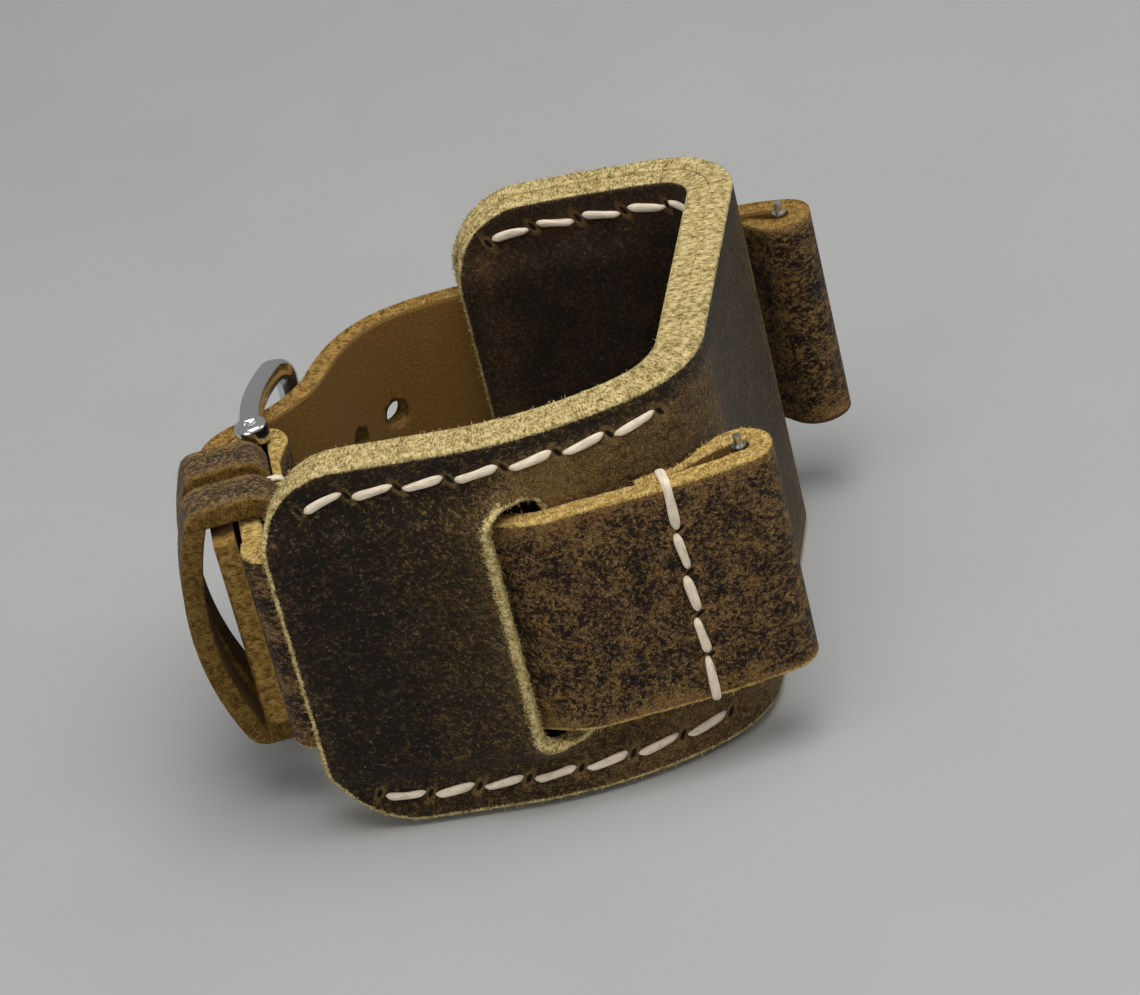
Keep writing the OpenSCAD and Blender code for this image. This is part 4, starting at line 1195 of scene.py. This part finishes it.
class OBJECT_OT_strap_bars(Operator):
    """Finish of the spring bars, whose shapes come from the construction"""

    bl_idname = "object.strap_bars"
    bl_label = "Spring bars"

    def execute(self, context):
        look = context.scene.trim_colours
        # Turned bright on a lathe, so its gloss runs in rings; the spring is drawn wire, duller and greyer
        turned = turned_metal_material("turned_stainless_steel", look.steel, 0.00008, 0.28)
        wire = turned_metal_material("drawn_spring_wire", look.wire, 0.00005, 0.34)
        for name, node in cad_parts.items():
            if "_bar_" not in name:
                continue
            spring = name.endswith("_spring")
            node.data.materials.clear()
            node.data.materials.append(wire if spring else turned)
        return {"FINISHED"}


class SCENE_OT_strap_stage(Operator):
    """Pale floor, soft lamps and the camera"""

    bl_idname = "scene.strap_stage"
    bl_label = "Stage"

    def execute(self, context):
        scene, settings = context.scene, context.scene.strap_stage
        floor_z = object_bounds()[0].z - FLOOR_GAP
        mesh = bpy.data.meshes.new("floor")
        corners = ((-1, -1), (1, -1), (1, 1), (-1, 1))
        mesh.from_pydata([(FLOOR_HALF * x, FLOOR_HALF * y, floor_z) for x, y in corners], [], [(0, 1, 2, 3)])
        floor = new_object("floor", mesh)
        # Matt paper, uncoated, so it shows no reflection and only a faint cloudiness
        material, tree = new_tree("matt_paper_floor")
        cloudy = clouds(tree, add(tree, "TexCoord", {}, 3), 30.0, 4.0)
        shade = ramp(tree, cloudy, (0.3, darker(settings.floor, 0.95)), (0.7, settings.floor))
        mesh.materials.append(finish(material, {"Base Color": shade, "Roughness": 0.7, "Specular IOR Level": 0.2}))
        floor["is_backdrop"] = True
        world = bpy.data.worlds.new("soft_light")
        world.use_nodes = True
        sky, strength = world.node_tree.nodes["Background"].inputs[:2]
        sky.default_value, strength.default_value = (0.87, 0.86, 0.84, 1), 0.36
        scene.world = world
        for name, at, size, watts in (("key_above", (0.10, -0.12, 0.62), 0.5, settings.key),
                                      ("fill_front", (-0.25, -0.60, 0.22), 0.45, settings.fill),
                                      ("rim_right", (0.55, 0.12, 0.35), 0.30, 0.5 * settings.fill)):
            lamp = bpy.data.lights.new(name, "AREA")
            lamp.size, lamp.energy = size, watts
            made = new_object(name, lamp)
            made.location = at
            made.rotation_euler = (Vector(LAMP_AIM) - Vector(at)).to_track_quat("-Z", "Y").to_euler()
        camera = bpy.data.cameras.new("camera")
        camera.sensor_width, camera.lens = 36.0, settings.lens
        camera.clip_start, camera.clip_end = 0.01, 20.0
        made = new_object("camera", camera)
        made.rotation_mode = "QUATERNION"
        made.location = CAMERA_AT
        aim = Vector(CAMERA_AIM) - made.location
        made.rotation_quaternion = aim.to_track_quat("-Z", "Y") @ Quaternion((0, 0, 1), math.radians(CAMERA_ROLL))
        scene.camera = made
        scene.view_settings.view_transform = "Standard"
        return {"FINISHED"}


class VIEW3D_PT_strap(Panel):
    """Lists the strap's pieces and settings"""

    bl_label = "Watch strap"
    bl_space_type = "VIEW_3D"
    bl_region_type = "UI"
    bl_category = "Strap"

    def draw(self, context):
        for operator in OPERATORS:
            self.layout.operator(operator.bl_idname)
        for group in (getattr(context.scene, name) for name in GROUPS):
            box = self.layout.box()
            for name in group.bl_rna.properties.keys():
                if name not in ("rna_type", "name"):
                    box.prop(group, name)


OPERATORS = (OBJECT_OT_strap_pad, OBJECT_OT_strap_pieces, OBJECT_OT_strap_keepers, OBJECT_OT_strap_thread,
             OBJECT_OT_strap_buckle, OBJECT_OT_strap_bars, SCENE_OT_strap_stage)
GROUPS = {"strap_sizes": StrapSizes, "leather_colours": LeatherColours, "trim_colours": TrimColours,
          "strap_stage": StageSettings}


def register():
    for item in (*GROUPS.values(), *OPERATORS, VIEW3D_PT_strap):
        bpy.utils.register_class(item)
    for name, group in GROUPS.items():
        setattr(bpy.types.Scene, name, PointerProperty(type=group))


def unregister():
    for name in GROUPS:
        delattr(bpy.types.Scene, name)
    for item in (VIEW3D_PT_strap, *reversed(OPERATORS), *reversed(list(GROUPS.values()))):
        bpy.utils.unregister_class(item)


def main():
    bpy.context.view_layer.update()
    register()
    bpy.ops.object.strap_pad()
    bpy.ops.object.strap_pieces()
    bpy.ops.object.strap_keepers()
    bpy.ops.object.strap_thread()
    bpy.ops.object.strap_buckle()
    bpy.ops.object.strap_bars()
    bpy.ops.scene.strap_stage()


if __name__ == "__main__":
    main()
